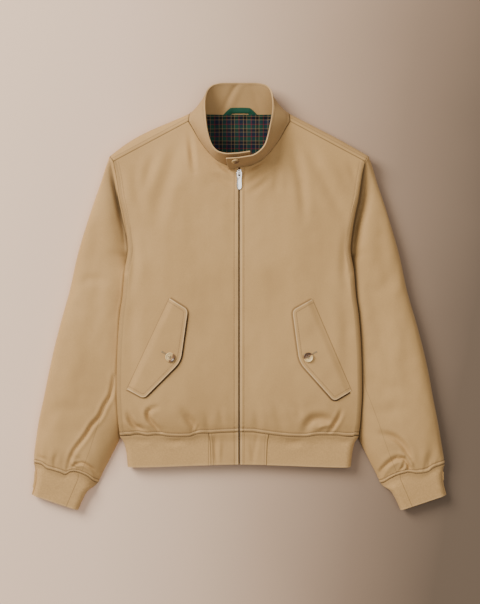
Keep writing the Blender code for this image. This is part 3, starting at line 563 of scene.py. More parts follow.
@dataclass(frozen=True)
class Tape:
    """Green herringbone tape."""

    name: str = "green_tape"
    light: Colour = (0.001, 0.088, 0.046)
    dark: Colour = (0.0, 0.042, 0.022)

    def build(self) -> bpy.types.Material:
        """Make the material."""
        shader = Shader(self.name)
        u, v, _ = shader.split(shader.cloth_place())
        zig = ((u / 0.0033).math("FRACT") - 0.5).math("ABSOLUTE") * 2
        bone = ((v / 0.0011 + zig * 1.2).math("FRACT") - 0.5).math("ABSOLUTE") * 2
        colour = shader.blend(bone, self.dark, self.light)
        shader.set(
            Base_Color=colour, Roughness=0.65, Normal=shader.bump(bone, 0.4, 0.0002), Specular_IOR_Level=0.4,
        )
        return shader.material


@dataclass(frozen=True)
class Thread:
    """Sewing thread."""

    name: str = "tan_thread"
    colour: Colour = (0.47, 0.31, 0.16)

    def build(self) -> bpy.types.Material:
        """Make the material."""
        shader = Shader(self.name)
        twist = shader.speckle(shader.place(), 2500.0)
        shader.set(
            Base_Color=shader.blend(twist, self.colour, tuple(c * 1.15 for c in self.colour)),
            Roughness=0.6,
            Normal=shader.bump(twist, 0.3, 0.0001),
        )
        return shader.material


@dataclass(frozen=True)
class Metal:
    """Polished or dull white metal with fine scratches."""

    name: str
    colour: Colour
    rough: float

    def build(self) -> bpy.types.Material:
        """Make the material."""
        shader = Shader(self.name)
        marks = shader.speckle(shader.place(), 700.0, 4.0)
        shader.set(
            Base_Color=shader.blend(marks * 0.25, self.colour, tuple(c * 0.7 for c in self.colour)),
            Metallic=1.0,
            Roughness=self.rough + marks * 0.08, Normal=shader.bump(marks, 0.05, 0.00005),
        )
        return shader.material


@dataclass(frozen=True)
class Horn:
    """Polished horn, pale gold on one side and dark brown on the other, in a wandering line."""

    name: str = "marbled_horn"
    centre: tuple[float, float] = (0.0, 0.0)
    towards: tuple[float, float] = (90.0, -70.0)

    def build(self) -> bpy.types.Material:
        """Make the material."""
        shader = Shader(self.name)
        where = shader.place()
        x, y, _ = shader.split(where)
        swirl = shader.speckle(where, 150.0, 1.0)
        slant = (x - self.centre[0]) * self.towards[0] + (y - self.centre[1]) * self.towards[1]
        share = slant + (swirl - 0.5) * 1.6
        stops = (
            (0.0, (0.80, 0.60, 0.30)), (0.42, (0.62, 0.42, 0.18)), (0.58, (0.20, 0.10, 0.045)),
            (1.0, (0.03, 0.016, 0.01))
        )
        colour = shader.node("ShaderNodeValToRGB", {"stops": stops}, {0: share * 0.5 + 0.42})
        shader.set(Base_Color=colour, Roughness=0.26 + swirl * 0.1, Coat_Weight=0.25, Coat_Roughness=0.12)
        return shader.material


@dataclass(frozen=True)
class Ground:
    """A plain pale surface with painted light falloff: darker to the right and a little towards the bottom.
    """

    name: str = "ground"
    stops: tuple[tuple[float, Colour], ...] = (
        (0.0, (0.947, 0.720, 0.556)), (0.22, (0.880, 0.665, 0.517)), (0.42, (0.72, 0.54, 0.404)),
        (0.62, (0.512, 0.371, 0.270)), (0.80, (0.315, 0.228, 0.165)), (1.0, (0.167, 0.125, 0.092)),
    )

    def build(self) -> bpy.types.Material:
        """Make the material."""
        shader = Shader(self.name)
        where = shader.place()
        x, y, _ = shader.split(where)
        cloud = shader.speckle(where, 2.2, 3.0)
        # Painted light falloff: lighter to the upper left, darker to the right; the cloud is random tone.
        across = (x + 0.46) / 0.92
        share = across - across * y * 0.18 + (cloud - 0.5) * 0.10
        colour = shader.node("ShaderNodeValToRGB", {"stops": self.stops}, {0: share})
        shader.set(Base_Color=colour, Roughness=0.95, Specular_IOR_Level=0.2)
        return shader.material


class Kit:
    """The finishes, each made once."""

    def __init__(self) -> None:
        """Make every finish."""
        self.twill = Twill().build()
        # In each finish, the dark marks are painted shade in its seams, gaps, edges and stitch grooves, and
        # the pale marks painted highlight on welts and on folded and rolled edges.
        self.front = Twill(name="front_twill", marks=(
            Mark("hem", 0.4, 1.5, 0.62), Mark("hem", 7.4, 1.1, 0.50),
            Mark("hem", 4.0, 2.0, 0.18, pale=True),
            Mark("zip", 0.0, 0.8, 0.80), Mark("zip", 2.4, 1.3, 0.30, pale=True),
            Mark("zip", 8.2, 0.9, 0.30),
            Mark("neck", 0.0, 1.5, 0.75), Mark("edge", 5.6, 0.8, 0.22), Mark("edge", 9.8, 0.8, 0.22),
            # The flap mark is the flap's painted shadow on the front, scaled by flap_shade.
            Mark("shoulder", 0.0, 1.3, 0.48), Mark("flap", 1.2, 2.7, 1.0, scale_by="flap_shade"),
        )).build()
        self.back = Twill(name="back_twill", marks=(
            Mark("shoulder", 0.0, 0.9, 0.35), Mark("shoulder", 6.2, 0.9, 0.28),
            Mark("neck", 0.0, 1.4, 0.60),
        )).build()
        self.sleeve = Twill(name="sleeve_twill", marks=(
            Mark("head", 0.0, 1.5, 0.60), Mark("cuff", 0.4, 1.5, 0.62), Mark("cuff", 7.4, 1.1, 0.50),
            Mark("cuff", 4.0, 2.0, 0.15, pale=True), Mark("seam", 0.0, 0.7, 0.30),
        )).build()
        self.flap = Twill(name="flap_twill", marks=(
            Mark("free", 0.0, 2.0, 0.55, pale=True), Mark("free", 6.5, 0.9, 0.34),
            Mark("sewn", 0.0, 1.3, 0.50),
        )).build()
        self.tab = Twill(name="tab_twill", marks=(
            Mark("zip", 0.0, 0.8, 0.80), Mark("zip", 2.4, 1.3, 0.35, pale=True),
            Mark("zip", 8.2, 0.9, 0.34),
            Mark("side", 0.0, 1.2, 0.50), Mark("side", 5.0, 0.8, 0.30), Mark("top", 0.0, 1.2, 0.30),
        )).build()
        # The collar's tones are darker than the fronts' as painted shade on the standing collar; its pale
        # marks paint highlight and wear on the rolled top edge and highlight on the lap's lower edge.
        self.collar = Twill(
            name="collar_twill", light=(0.468, 0.300, 0.132), dark=(0.408, 0.256, 0.110), marks=(
                Mark("base", 0.0, 1.5, 0.65), Mark("top", 4.6, 0.9, 0.30),
                Mark("top", 0.0, 1.2, 0.28, pale=True),
                Mark("lap", 0.0, 1.4, 0.50, pale=True),
            ),
        ).build()
        self.facing = Twill(name="facing_twill", light=(0.20, 0.13, 0.06), dark=(0.16, 0.10, 0.045)).build()
        self.knit = Knit(marks=(Mark("seam", 0.0, 0.8, 0.45), Mark("top", 0.0, 1.2, 0.25))).build()
        self.plaid = Plaid().build()
        self.tape = Tape().build()
        self.thread = Thread().build()
        self.hole_thread = Thread(name="buttonhole_thread", colour=(0.30, 0.235, 0.145)).build()
        self.bright = Metal("bright_metal", (0.96, 0.96, 0.97), 0.14).build()
        # The teeth's dark grey is partly the metal's own colour and partly painted shade for the narrow gap
        # between the fronts.
        self.teeth = Metal("tooth_metal", (0.22, 0.20, 0.18), 0.30).build()
        self.ground = Ground().build()


# ---------------------------------------------------------------- the cut of the jacket, in millimetres

class Side(Enum):
    """The wearer's left lies at +X, and their right at -X."""

    LEFT = 1
    RIGHT = -1

    @property
    def word(self) -> str:
        """The side's name, as the frame's nodes have it."""
        return self.name.lower()


CLOTH, RIB_WALL, COLLAR_WALL, LINING_WALL, TAPE_WALL = 1.3, 1.9, 2.4, 0.8, 0.9
ZIP_GAP = 2.2
NECK_FRONT_Y, NECK_BACK_Y = 246.5, 340.6
NECK_POINT_FRONT, NECK_POINT_EDGE, NECK_POINT_BACK = (96.7, 333.5), (94.8, 350.0), (87.4, NECK_BACK_Y)
SHOULDER_FRONT, SHOULDER_EDGE, SHOULDER_BACK = (239.0, 257.4), (246.6, 268.6), (238.7, 250.6)
SHOULDER_THICK = 36.0
SHOULDER_RUN = np.array([0.8759, -0.4826])
UNDERARM_Y, ARMHOLE_FOLD_Y = 40.0, 92.0
HALF_HEM = 228.6
BAND_DEEP = 60
SLEEVE_ROUND, SLEEVE_EDGE, SLEEVE_EDGE_RUN, SLEEVE_INNER, SLEEVE_RISE = 46.0, 13.0, 10.0, 4.6, 20.0
UNDERARM_ROW, NECK_ROW, LAST_ROW = 10, 19, 26
# How much a sleeve's outer edge swells, where along it, and over what length.
SLEEVE_SWELL = {Side.LEFT: (-3.4, 20, 190), Side.RIGHT: (3.3, -240, 70)}
# Shares of a flap's free edge, and how dark its shadow on the front is there.
FLAP_SHADE = {
    Side.LEFT: ([0, 0.50, 0.82, 0.88, 1], [0.42, 0.45, 0.8, 1, 1]),
    Side.RIGHT: ([0, 0.17, 0.22, 0.82, 0.87, 1], [0.5, 0.55, 1, 1, 0.55, 0.55]),
}
SHOULDER_BULGE = {Side.LEFT: 1.5, Side.RIGHT: 7.5}
SHOULDER_SEAM_GAP, BACK_HEM_Y = 0.35, -262
CURLS = 8

FRONT_EDGE = Table(
    "y x", (-266, 228.6), (-229, 231.8), (-178, 234.1), (-131, 233.3), (-83, 231.2), (-34, 227.4),
    (2, 222.3),
    (48, 218.5), (92, 212.0), (107, 213.3), (158, 221.2), (183, 226.7), (221, 232.5), (257.3, 239.0),
)
BACK_ARMHOLE = Table(
    "y x", (40, 174), (60, 190), (85, 199), (120, 205), (160, 210), (200, 218), (230, 229), (250.6, 238.7)
)
FRONT_NECK = (
    (1.2, 246.5), (22.5, 249.4), (41.5, 258.6), (58.0, 274.6), (75.5, 298.0), (88.8, 321.0),
    NECK_POINT_FRONT
)
TUCK = Table("y inward", (-266, 22), (-229, 42), (-195, 54), (-150, 58), (-50, 56), (0, 52), (40, 46))
SLEEVE_OUTER = (
    SHOULDER_EDGE, (253.6, 251.3), (265.0, 217.1), (277.4, 182.9), (292.6, 137.3), (309.7, 80.3),
    (324.9, 11.9), (343.9, -56.5), (355.3, -102.1), (364.8, -147.7), (372.4, -193.3), (381.0, -238.9),
    (386.7, -273.1), (391.4, -307.3), (390.1, -322.0),
)
SLEEVE_INNER_EDGE = (
    (174.0, 40.0), (184.0, 0.0), (189.0, -50.0), (191.0, -105.0), (190.0, -155.0), (193.0, -198.0),
    (206.8, -229.4), (226.1, -267.4), (248.0, -311.0), (270.9, -355.8),
)
FRONT_HEIGHT = Table(
    "y zip edge swell", (-266, 28, 27, 0.5), (-256, 31.5, 31, 1.5), (-242, 36.5, 36, 2.5),
    (-215, 42.5, 40, 3), (-170, 46, 42, 3.5), (-90, 48, 43, 4), (40, 48, 43, 4.5), (110, 47.5, 42, 4.5),
    (180, 46, 39.5, 3.5), (225, 44, 37.5, 2), (254, 36, 36, 0),
)
LEFT_HEM = Table(
    "x y", (0, -258.7), (24, -258.9), (47, -262), (79, -266.2), (103, -268.2), (126, -268.6), (139, -266.8),
    (152, -265.1), (186, -265.6), (205, -267.6), (229, -267.4),
)
RIGHT_HEM = Table(
    "x y", (0, -258.7), (31, -260), (55, -261.4), (76, -261.8), (86, -264.6), (95, -268), (112, -268.6),
    (134, -268), (150, -265.4), (160, -265.2), (175, -266.6), (194, -263.9), (210, -265.6), (229, -265.6),
)
FRONT_ROWS = Table(
    "row edge_y zip_y neck",
    *[
        (k, *row) for k, row in enumerate((
            (-266, -260, 0), (-257, -251, 0), (-246, -240, 0), (-232, -226, 0), (-214, -207, 0),
            (-190, -182, 0), (-150, -140, 0), (-100, -85, 0), (-50, -30, 0), (0, 25, 0), (40, 70, 0),
            (54, 87, 0), (67, 103, 0), (80, 119, 0), (92, 134, 0), (112, 158, 0), (132, 181, 0),
            (152, 203, 0), (169, 225, 0), (184, NECK_FRONT_Y, 0), (197, NECK_FRONT_Y, 0.14),
            (209, NECK_FRONT_Y, 0.28), (220, NECK_FRONT_Y, 0.42), (230, NECK_FRONT_Y, 0.56),
            (239, NECK_FRONT_Y, 0.70), (249, NECK_FRONT_Y, 0.85), (257.3, NECK_FRONT_Y, 1),
        ))
    ],
)
BACK_ROWS = Table(
    "row edge_y centre_y neck", (0, 40, 70, 0), (1, 58, 100, 0), (2, 80, 140, 0), (3, 110, 185, 0),
    (4, 145, 235, 0), (5, 180, 290, 0), (6, 203, NECK_BACK_Y, 0), (7, 217, NECK_BACK_Y, 0.25),
    (8, 229, NECK_BACK_Y, 0.5), (9, 240, NECK_BACK_Y, 0.75), (10, 250.6, NECK_BACK_Y, 1),
)
SLEEVE_PUFF = Table(
    "share high", (0, 36), (0.12, 34.5), (0.6, 35), (0.85, 35), (0.93, 33), (0.975, 28.5), (1, 25.5)
)
CUFF_ROWS = Table(
    "share outer_x outer_y inner_x inner_y thick oval",
    (0, 390.1, -322.0, 270.9, -355.8, 25, 0), (0.1, 387.6, -328.5, 276.0, -361.3, 24, 0.3),
    (0.25, 387.4, -337.5, 287.0, -369.0, 24, 1), (0.6, 390.2, -358.8, 299.5, -389.0, 23, 1),
    (1, 395.6, -380.6, 308.8, -409.5, 22, 1),
)
BAND_ROWS = Table(
    "share wide thick own", (0, HALF_HEM, 28, 0), (0.12, 223.5, 26, 0.6), (0.3, 220.2, 25, 1),
    (0.6, 216.6, 24.5, 1), (1, 214.2, 24, 1),
)
COLLAR_TOP = {
    Side.LEFT: Table(
        "share x y z", (0, 0, 259.9, 92), (0.09, 22, 261.8, 92), (0.17, 37.0, 269.5, 91),
        (0.26, 49.4, 284.5, 87), (0.36, 55.0, 303.0, 80.5), (0.45, 59.0, 323.5, 72),
        (0.51, 62.5, 344.0, 63), (0.60, 64.4, 367.0, 52), (0.68, 62.3, 388.0, 40), (0.78, 51.0, 403.4, 29),
        (0.89, 29.0, 408.3, 23), (1, 0, 408.6, 21),
    ),
    Side.RIGHT: Table(
        "share x y z", (0, 0, 265.1, 92), (0.09, 22, 265.7, 92), (0.17, 38.8, 269.3, 91),
        (0.26, 52.0, 282.6, 86.5), (0.36, 58.8, 303.0, 80.5), (0.45, 62.0, 323.5, 72),
        (0.51, 63.8, 344.0, 63), (0.60, 65.0, 367.0, 52), (0.68, 63.0, 388.0, 40), (0.78, 51.0, 403.4, 29),
        (0.89, 29.0, 408.3, 23), (1, 0, 408.6, 21),
    ),
}


def edge_frame(y: Array) -> tuple[Array, Array]:
    """Points of the front's outer edge and the way out from each, both in plan.

    Args:
        y: places along the edge.

    Returns:
        The points and the unit directions.
    """
    slope = (FRONT_EDGE.read("x", y + 1) - FRONT_EDGE.read("x", y - 1)) / 2
    out = np.stack([np.ones_like(slope), -slope], axis=-1) / np.sqrt(1 + slope * slope)[..., None]
    out = mix(out, SHOULDER_RUN, ease((y - 232) / 22)[..., None])
    return np.stack([FRONT_EDGE.read("x", y), y], axis=-1), out


def curl_sizes(y: Number) -> tuple[Array, Array, float, Array]:
    """The front's turn at its outer edge: its run and drop, and the lower turn's run and drop."""
    up = ease((y - ARMHOLE_FOLD_Y) / 150)
    low = ease((-215 - y) / 50)
    seam = ease((254 - y) / 18)
    return mix(10, 5, up), mix(mix(9, 3.5, up), 8, low) * mix(0.12, 1, seam), 8.0, mix(8.0, 5.5, low)


def curl_points(y: float, top: float, places: Array) -> Array:
    """The front's turned edge at one row.

    Args:
        y: the row's place on the outer edge.
        top: the front's height there.
        places: from 0, where the turn starts, to 8 at its end.

    Returns:
        Pairs of distance outward and height.
    """
    run, drop, low_run, low_drop = (float(v) for v in curl_sizes(y))
    turn = np.linspace(0, pi / 2, 14)
    upper = [(-run + run * sin(a), top - drop + drop * cos(a)) for a in turn]
    lower = [(-low_run + low_run * cos(a), top - drop - low_drop * sin(a)) for a in turn[1:]]
    seam = np.array([-float(TUCK.read("inward", y)), 4.8 * float(ease(y / UNDERARM_Y))])
    start = np.array(lower[-1])
    tail = [mix(start, seam, s) - np.array([0, 1.0 * sin(pi * s)]) for s in np.linspace(0, 1, 14)[1:]]
    line = np.array(upper + lower + tail)
    lengths = lengths_along(line)
    quarter, half = lengths[len(upper) - 1], lengths[len(upper) + len(lower) - 1]
    under = float(ease((ARMHOLE_FOLD_Y - y) / (ARMHOLE_FOLD_Y - UNDERARM_Y)))
    turned = CURLS - 3
    full = np.where(places <= turned, half * places / turned, mix(half, lengths[-1], (places - turned) / 3))
    at = mix(quarter * places / CURLS, full, under)
    return read_line(line, lengths, at)


def turned(front: Sequence[float], edge: Sequence[float], back: Sequence[float], angle: float) -> Array:
    """A place on the shoulder's turn: the back at 0, the edge, then the front seam at 180 degrees."""
    far = np.array(back if angle < pi / 2 else front)
    plan = mix(np.array(edge), far, 1 - sin(angle))
    return np.array([plan[0], plan[1], SHOULDER_THICK / 2 * (1 - cos(angle))])


def wedge_height(x: Array, y: Array) -> Array:
    """How high a sleeve can be at places in plan and still clear the front's turned under edge."""
    y = np.clip(y, -266, 100)
    rise = 60 * ease((y - 62) / 36)
    edge, out = edge_frame(y)
    inward = (edge[..., 0] - x) * out[..., 0]
    _, drop, low_run, low_drop = curl_sizes(y)
    low = FRONT_HEIGHT.read("edge", y) - drop - low_drop
    tuck = TUCK.read("inward", y)
    share = np.clip((inward - low_run) / (tuck - low_run), 0, 1)
    under = mix(low, 4.8 * ease(y / UNDERARM_Y), share) - np.sin(pi * share)
    return np.where(inward < low_run, low + 1.2 * (low_run - inward), under) - 1.6 + rise


def spread(keys: Sequence[float], steps: Sequence[int]) -> Array:
    """Places that divide each gap between keys into a number of equal steps."""
    parts = [np.linspace(a, b, n + 1)[:-1] for a, b, n in zip(keys, keys[1:], steps)]
    return np.concatenate([*parts, [keys[-1]]])


def face_normals(points: Array, closed: bool = False) -> Array:
    """The unit normal at each point of a grid.

    Args:
        points: rows by columns by three.
        closed: whether its last column meets its first.

    Returns:
        The normals, by the right hand from columns to rows.
    """
    if closed:
        around = np.concatenate([points[:, -1:], points, points[:, :1]], axis=1)
        across = (around[:, 2:] - around[:, :-2]) / 2
    else:
        across = np.gradient(points, axis=1)
    along = np.gradient(points, axis=0)
    normal = np.cross(across, along)
    return normal / np.maximum(np.linalg.norm(normal, axis=-1, keepdims=True), 1e-9)


# ---------------------------------------------------------------- cloth and stitches


def put_in_scene(
    name: str, shape: bmesh.types.BMesh, material: bpy.types.Material, smooth: bool = True
) -> bpy.types.Object:
    """Turn a bmesh into an object at the origin.

    Args:
        name: the object's name.
        shape: its mesh in metres, which is freed.
        material: its finish.
        smooth: whether its faces are shaded smooth.

    Returns:
        The object.
    """
    mesh = bpy.data.meshes.new(name)
    shape.to_mesh(mesh)
    shape.free()
    mesh.materials.append(material)
    if smooth:
        mesh.shade_smooth()
    made = bpy.data.objects.new(name, mesh)
    bpy.context.scene.collection.objects.link(made)
    return made


@dataclass
class Cloth:
    """A wall of cloth whose outer face runs through a grid of points, in millimetres."""

    name: str
    points: Array
    wall: float
    material: bpy.types.Material
    up: tuple[float, float, float] = (0.0, 0.0, 1.0)
    closed: bool = False
    uv: Optional[Array] = None
    fields: Mapping[str, Array] = field(default_factory=dict)
    rim: float = 0.45
    rim_steps: int = 2
    parted: Optional[int] = None
    made: Optional[bpy.types.Object] = None
    tree: Optional[BVHTree] = None

    def make(self) -> "Cloth":
        """Build the object, with its wall and rounded rim as modifiers, and a tree to find places on it."""
        grid = self.points
        if self.closed:
            grid = np.concatenate([grid, grid[:, :1]], axis=1)
        rows, columns = grid.shape[:2]
        shape = bmesh.new()
        made = bmesh.ops.create_grid(shape, x_segments=columns - 1, y_segments=rows - 1, size=1)["verts"]
        for vert, co in zip(made, (grid * MM).reshape(-1, 3)):
            vert.co = co
        self.lay_threads(shape, grid)
        if self.parted is not None:
            between = [f for f in shape.faces if min(v.index for v in f.verts) % columns == self.parted]
            bmesh.ops.delete(shape, geom=between, context="FACES")
        bmesh.ops.remove_doubles(shape, verts=shape.verts, dist=0.00001)
        shape.normal_update()
        facing = Vector(self.up)
        outer = max(shape.faces, key=lambda face: face.calc_center_median().dot(facing))
        if outer.normal.dot(facing) < 0:
            bmesh.ops.reverse_faces(shape, faces=shape.faces)
        self.made = put_in_scene(self.name, shape, self.material)
        thick = self.made.modifiers.new("wall", "SOLIDIFY")
        thick.thickness = self.wall * MM
        thick.offset = -1
        thick.use_even_offset = False
        rim = self.made.modifiers.new("rim", "BEVEL")
        rim.width = self.rim * MM
        rim.segments = self.rim_steps
        rim.angle_limit = radians(58)
        rim.profile = 0.5
        graph = bpy.context.evaluated_depsgraph_get()
        graph.update()
        self.tree = BVHTree.FromObject(self.made, graph)
        return self

    def lay_threads(self, shape: bmesh.types.BMesh, grid: Array) -> None:
        """Give the sheet its thread coordinates and its other fields, before doubles are merged."""
        if self.uv is None:
            across = np.cumsum(np.linalg.norm(np.diff(grid, axis=1, prepend=grid[:, :1]), axis=2), axis=1)
            along = np.cumsum(np.linalg.norm(np.diff(grid, axis=0, prepend=grid[:1]), axis=2), axis=0)
            uv = np.stack(
                [across.mean(axis=0)[None, :] + 0 * along, along.mean(axis=1)[:, None] + 0 * across],
                axis=-1,
            )
        else:
            uv = self.uv if not self.closed else np.concatenate(
                [self.uv, self.uv[:, -1:] + self.uv[:, 1:2] - self.uv[:, :1]], axis=1
            )
        uv = (uv * MM).reshape(-1, 2)
        layer = shape.loops.layers.uv.new("threads")
        shape.verts.index_update()
        for face in shape.faces:
            for loop in face.loops:
                loop[layer].uv = uv[loop.vert.index]
        for name, values in self.fields.items():
            carried = shape.verts.layers.float.new(name)
            if self.closed:
                values = np.concatenate([values, values[:, :1]], axis=1)
            for vert, value in zip(shape.verts, np.clip(values, -FAR, FAR).reshape(-1)):
                vert[carried] = float(value)

    def drop(self, x: float, y: float) -> Optional[tuple[Vector, Vector]]:
        """The highest place of the cloth over a point in plan, in metres, and its normal."""
        place, normal, _, _ = self.tree.ray_cast(Vector((x * MM, y * MM, 1)), Vector((0, 0, -1)))
        return None if place is None else (place, normal)

    def height(self, x: Array, y: Array, missing: float = 0.0) -> Array:
        """Heights of the cloth's upper face at places in plan."""
        x, y = np.broadcast_arrays(x, y)
        found = []
        for a, b in zip(np.ravel(x), np.ravel(y)):
            hit = self.drop(float(a), float(b))
            found.append(missing if hit is None else hit[0].z / MM)
        return np.array(found).reshape(np.shape(x))

    def join(
        self, nodes: str, slot: str, flat: tuple[float, float], area: float, rests_on: Sequence[Any] = ()
    ) -> None:
        """Tie the cloth to the frame and state the cut that it's made from.

        Args:
            nodes: the CAD nodes that it stands for.
            slot: the record's material slot; not used.
            flat: the cut's width and length in metres.
            area: the cut's area in square metres; not used.
            rests_on: what it lies on; not used.
        """
        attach(self.made, BODY)
        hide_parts(*nodes.split())
        LOG.info("%s: %d faces, cut %.2f x %.2f m", self.name, len(self.made.data.polygons), *flat)


@dataclass
class Stitching:
    """Sewing thread laid on the cloth as separate small stitches, joined to one piece."""

    name: str
    material: bpy.types.Material
    long: float = 2.5
    gap: float = 1.1
    thick: float = 0.62
    shape: bmesh.types.BMesh = field(default_factory=bmesh.new)
    batches: list[bpy.types.Mesh] = field(default_factory=list)
    count: int = 0

    def put_by(self) -> None:
        """Set the stitches made so far aside as one batch, which keeps each new one quick to add."""
        batch = bpy.data.meshes.new(f"{self.name}_batch")
        self.shape.to_mesh(batch)
        self.shape.clear()
        self.batches.append(batch)

    def stitch(
        self, place: Vector, along: Vector, normal: Vector, long: Optional[float] = None,
        thick: Optional[float] = None,
    ) -> None:
        """One stitch, half sunk in the cloth.

        Args:
            place: its middle, in metres.
            along: the way it runs.
            normal: the way out of the cloth.
            long: its length in millimetres, where it isn't the usual one.
            thick: its thickness in millimetres, where it isn't the usual one.
        """
        along = (along - normal * along.dot(normal)).normalized()
        side = normal.cross(along)
        half, round_ = (long or self.long) * MM / 2, (thick or self.thick) * MM / 2
        turn = Matrix((along * half, side * round_, normal * round_)).transposed().to_4x4()
        turn.translation = place + normal * (round_ * 0.35)
        lying = turn @ Matrix.Rotation(pi / 2, 4, "Y")
        bmesh.ops.create_uvsphere(self.shape, u_segments=6, v_segments=4, radius=1, matrix=lying)
        self.count += 1
        if self.count % BATCH == 0:
            self.put_by()

    def line(self, cloth: Cloth, points: Array) -> None:
        """A row of stitches over the cloth, along a line in plan."""
        lengths = lengths_along(points)
        for at in np.arange(self.long / 2, lengths[-1] - self.long / 2, self.long + self.gap):
            ahead, behind = min(at + 1, lengths[-1]), max(at - 1, 0)
            run = read_line(points, lengths, ahead) - read_line(points, lengths, behind)
            hit = cloth.drop(*read_line(points, lengths, at))
            if hit and hit[1].z > 0.05:
                self.stitch(hit[0], Vector((*run, 0)), hit[1])

    def finish(self) -> None:
        """Make the piece and tie it to the frame."""
        self.put_by()
        for batch in self.batches:
            self.shape.from_mesh(batch)
            bpy.data.meshes.remove(batch)
        made = put_in_scene(self.name, self.shape, self.material)
        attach(made, BODY)
        LOG.info("%s: %d stitches", self.name, self.count)


# ---------------------------------------------------------------- the body


LEFT_FRONT_CREASES = (
    Crease(((127, -254), (131, -243), (143, -233), (158, -232), (174, -238)), 8, 7.0, 0.2),
    Crease(((148, -252), (160, -247), (172, -243)), 4, -2.2),
    Crease(((193, -221), (186, -235), (179, -247), (172, -258)), 4.0, 5.5, 0.3),
    Crease(((30, -214), (34, -232), (36, -254)), 7, 1.6),
    Crease(((66, -206), (76, -232), (84, -256)), 8, 1.6),
    Crease(((104, -206), (112, -214), (116, -226)), 6, 1.6),
    Crease(((99, 314), (106, 270), (118, 214), (124, 150)), 9, 3.0),
    Crease(((126, 300), (150, 246), (176, 196), (196, 158)), 12, 2.8),
    Crease(((68, 274), (72, 240), (70, 205)), 7, 2.0),
    Crease(((47, 240), (30, 224), (13, 213)), 5, 2.6),
    Crease(((58, 226), (38, 208), (22, 198)), 6, 2.0),
    Crease(((206, 268), (214, 246), (220, 224)), 7, 1.5),
    Crease(((40, 256), (24, 243), (8, 235)), 4, 2.4),
    Crease(((62, 120), (70, 20), (64, -90)), 26, 1.5),
    Crease(((206, 120), (200, 60), (206, 10)), 9, 2.2),
    Crease(((216, 60), (214, 44), (222, 20)), 5, 2.4),
    Crease(((196, 10), (204, -60), (206, -150)), 12, 2.0),
)
RIGHT_FRONT_CREASES = (
    Crease(((-211, -226), (-206, -237), (-198, -247), (-184, -253)), 5, 6.5, 0.3),
    Crease(
        ((-157, -211), (-168, -215), (-174, -222), (-172, -232), (-165, -241), (-157, -250), (-150, -258)),
        4.5, 6.5, 0.3,
    ),
    Crease(((-104, -222), (-94, -236), (-87, -246), (-82, -256)), 8, 6.5, 0.2),
    Crease(((-79, -240), (-83, -250), (-86, -258)), 2.5, -1.6),
    Crease(((-62, -226), (-60, -240), (-56, -256)), 6, 1.6),
    Crease(((-36, -214), (-34, -232), (-30, -246)), 6, 1.6),
    Crease(((-95, 330), (-93.5, 306), (-90, 272), (-86, 236)), 5.0, 3.8, 0.3),
    Crease(((-118, 300), (-130, 246), (-148, 186), (-158, 140)), 13, 3.4),
    Crease(((-158, 280), (-172, 236), (-186, 196)), 9, 2.2),
    Crease(((-198, 240), (-196, 200), (-186, 170)), 9, 2.0),
    Crease(((-42, 257), (-32, 247), (-20, 238), (-9, 231)), 3.5, 3.2, 0.3),
    Crease(((-44, 230), (-27, 220), (-12, 212)), 5, 2.0),
    Crease(((-70, 130), (-60, 10), (-74, -110)), 26, 1.5),
    Crease(((-206, 120), (-200, 60), (-206, 0)), 9, 2.2),
    Crease(((-196, 0), (-204, -60), (-205, -140)), 12, 2.0),
)


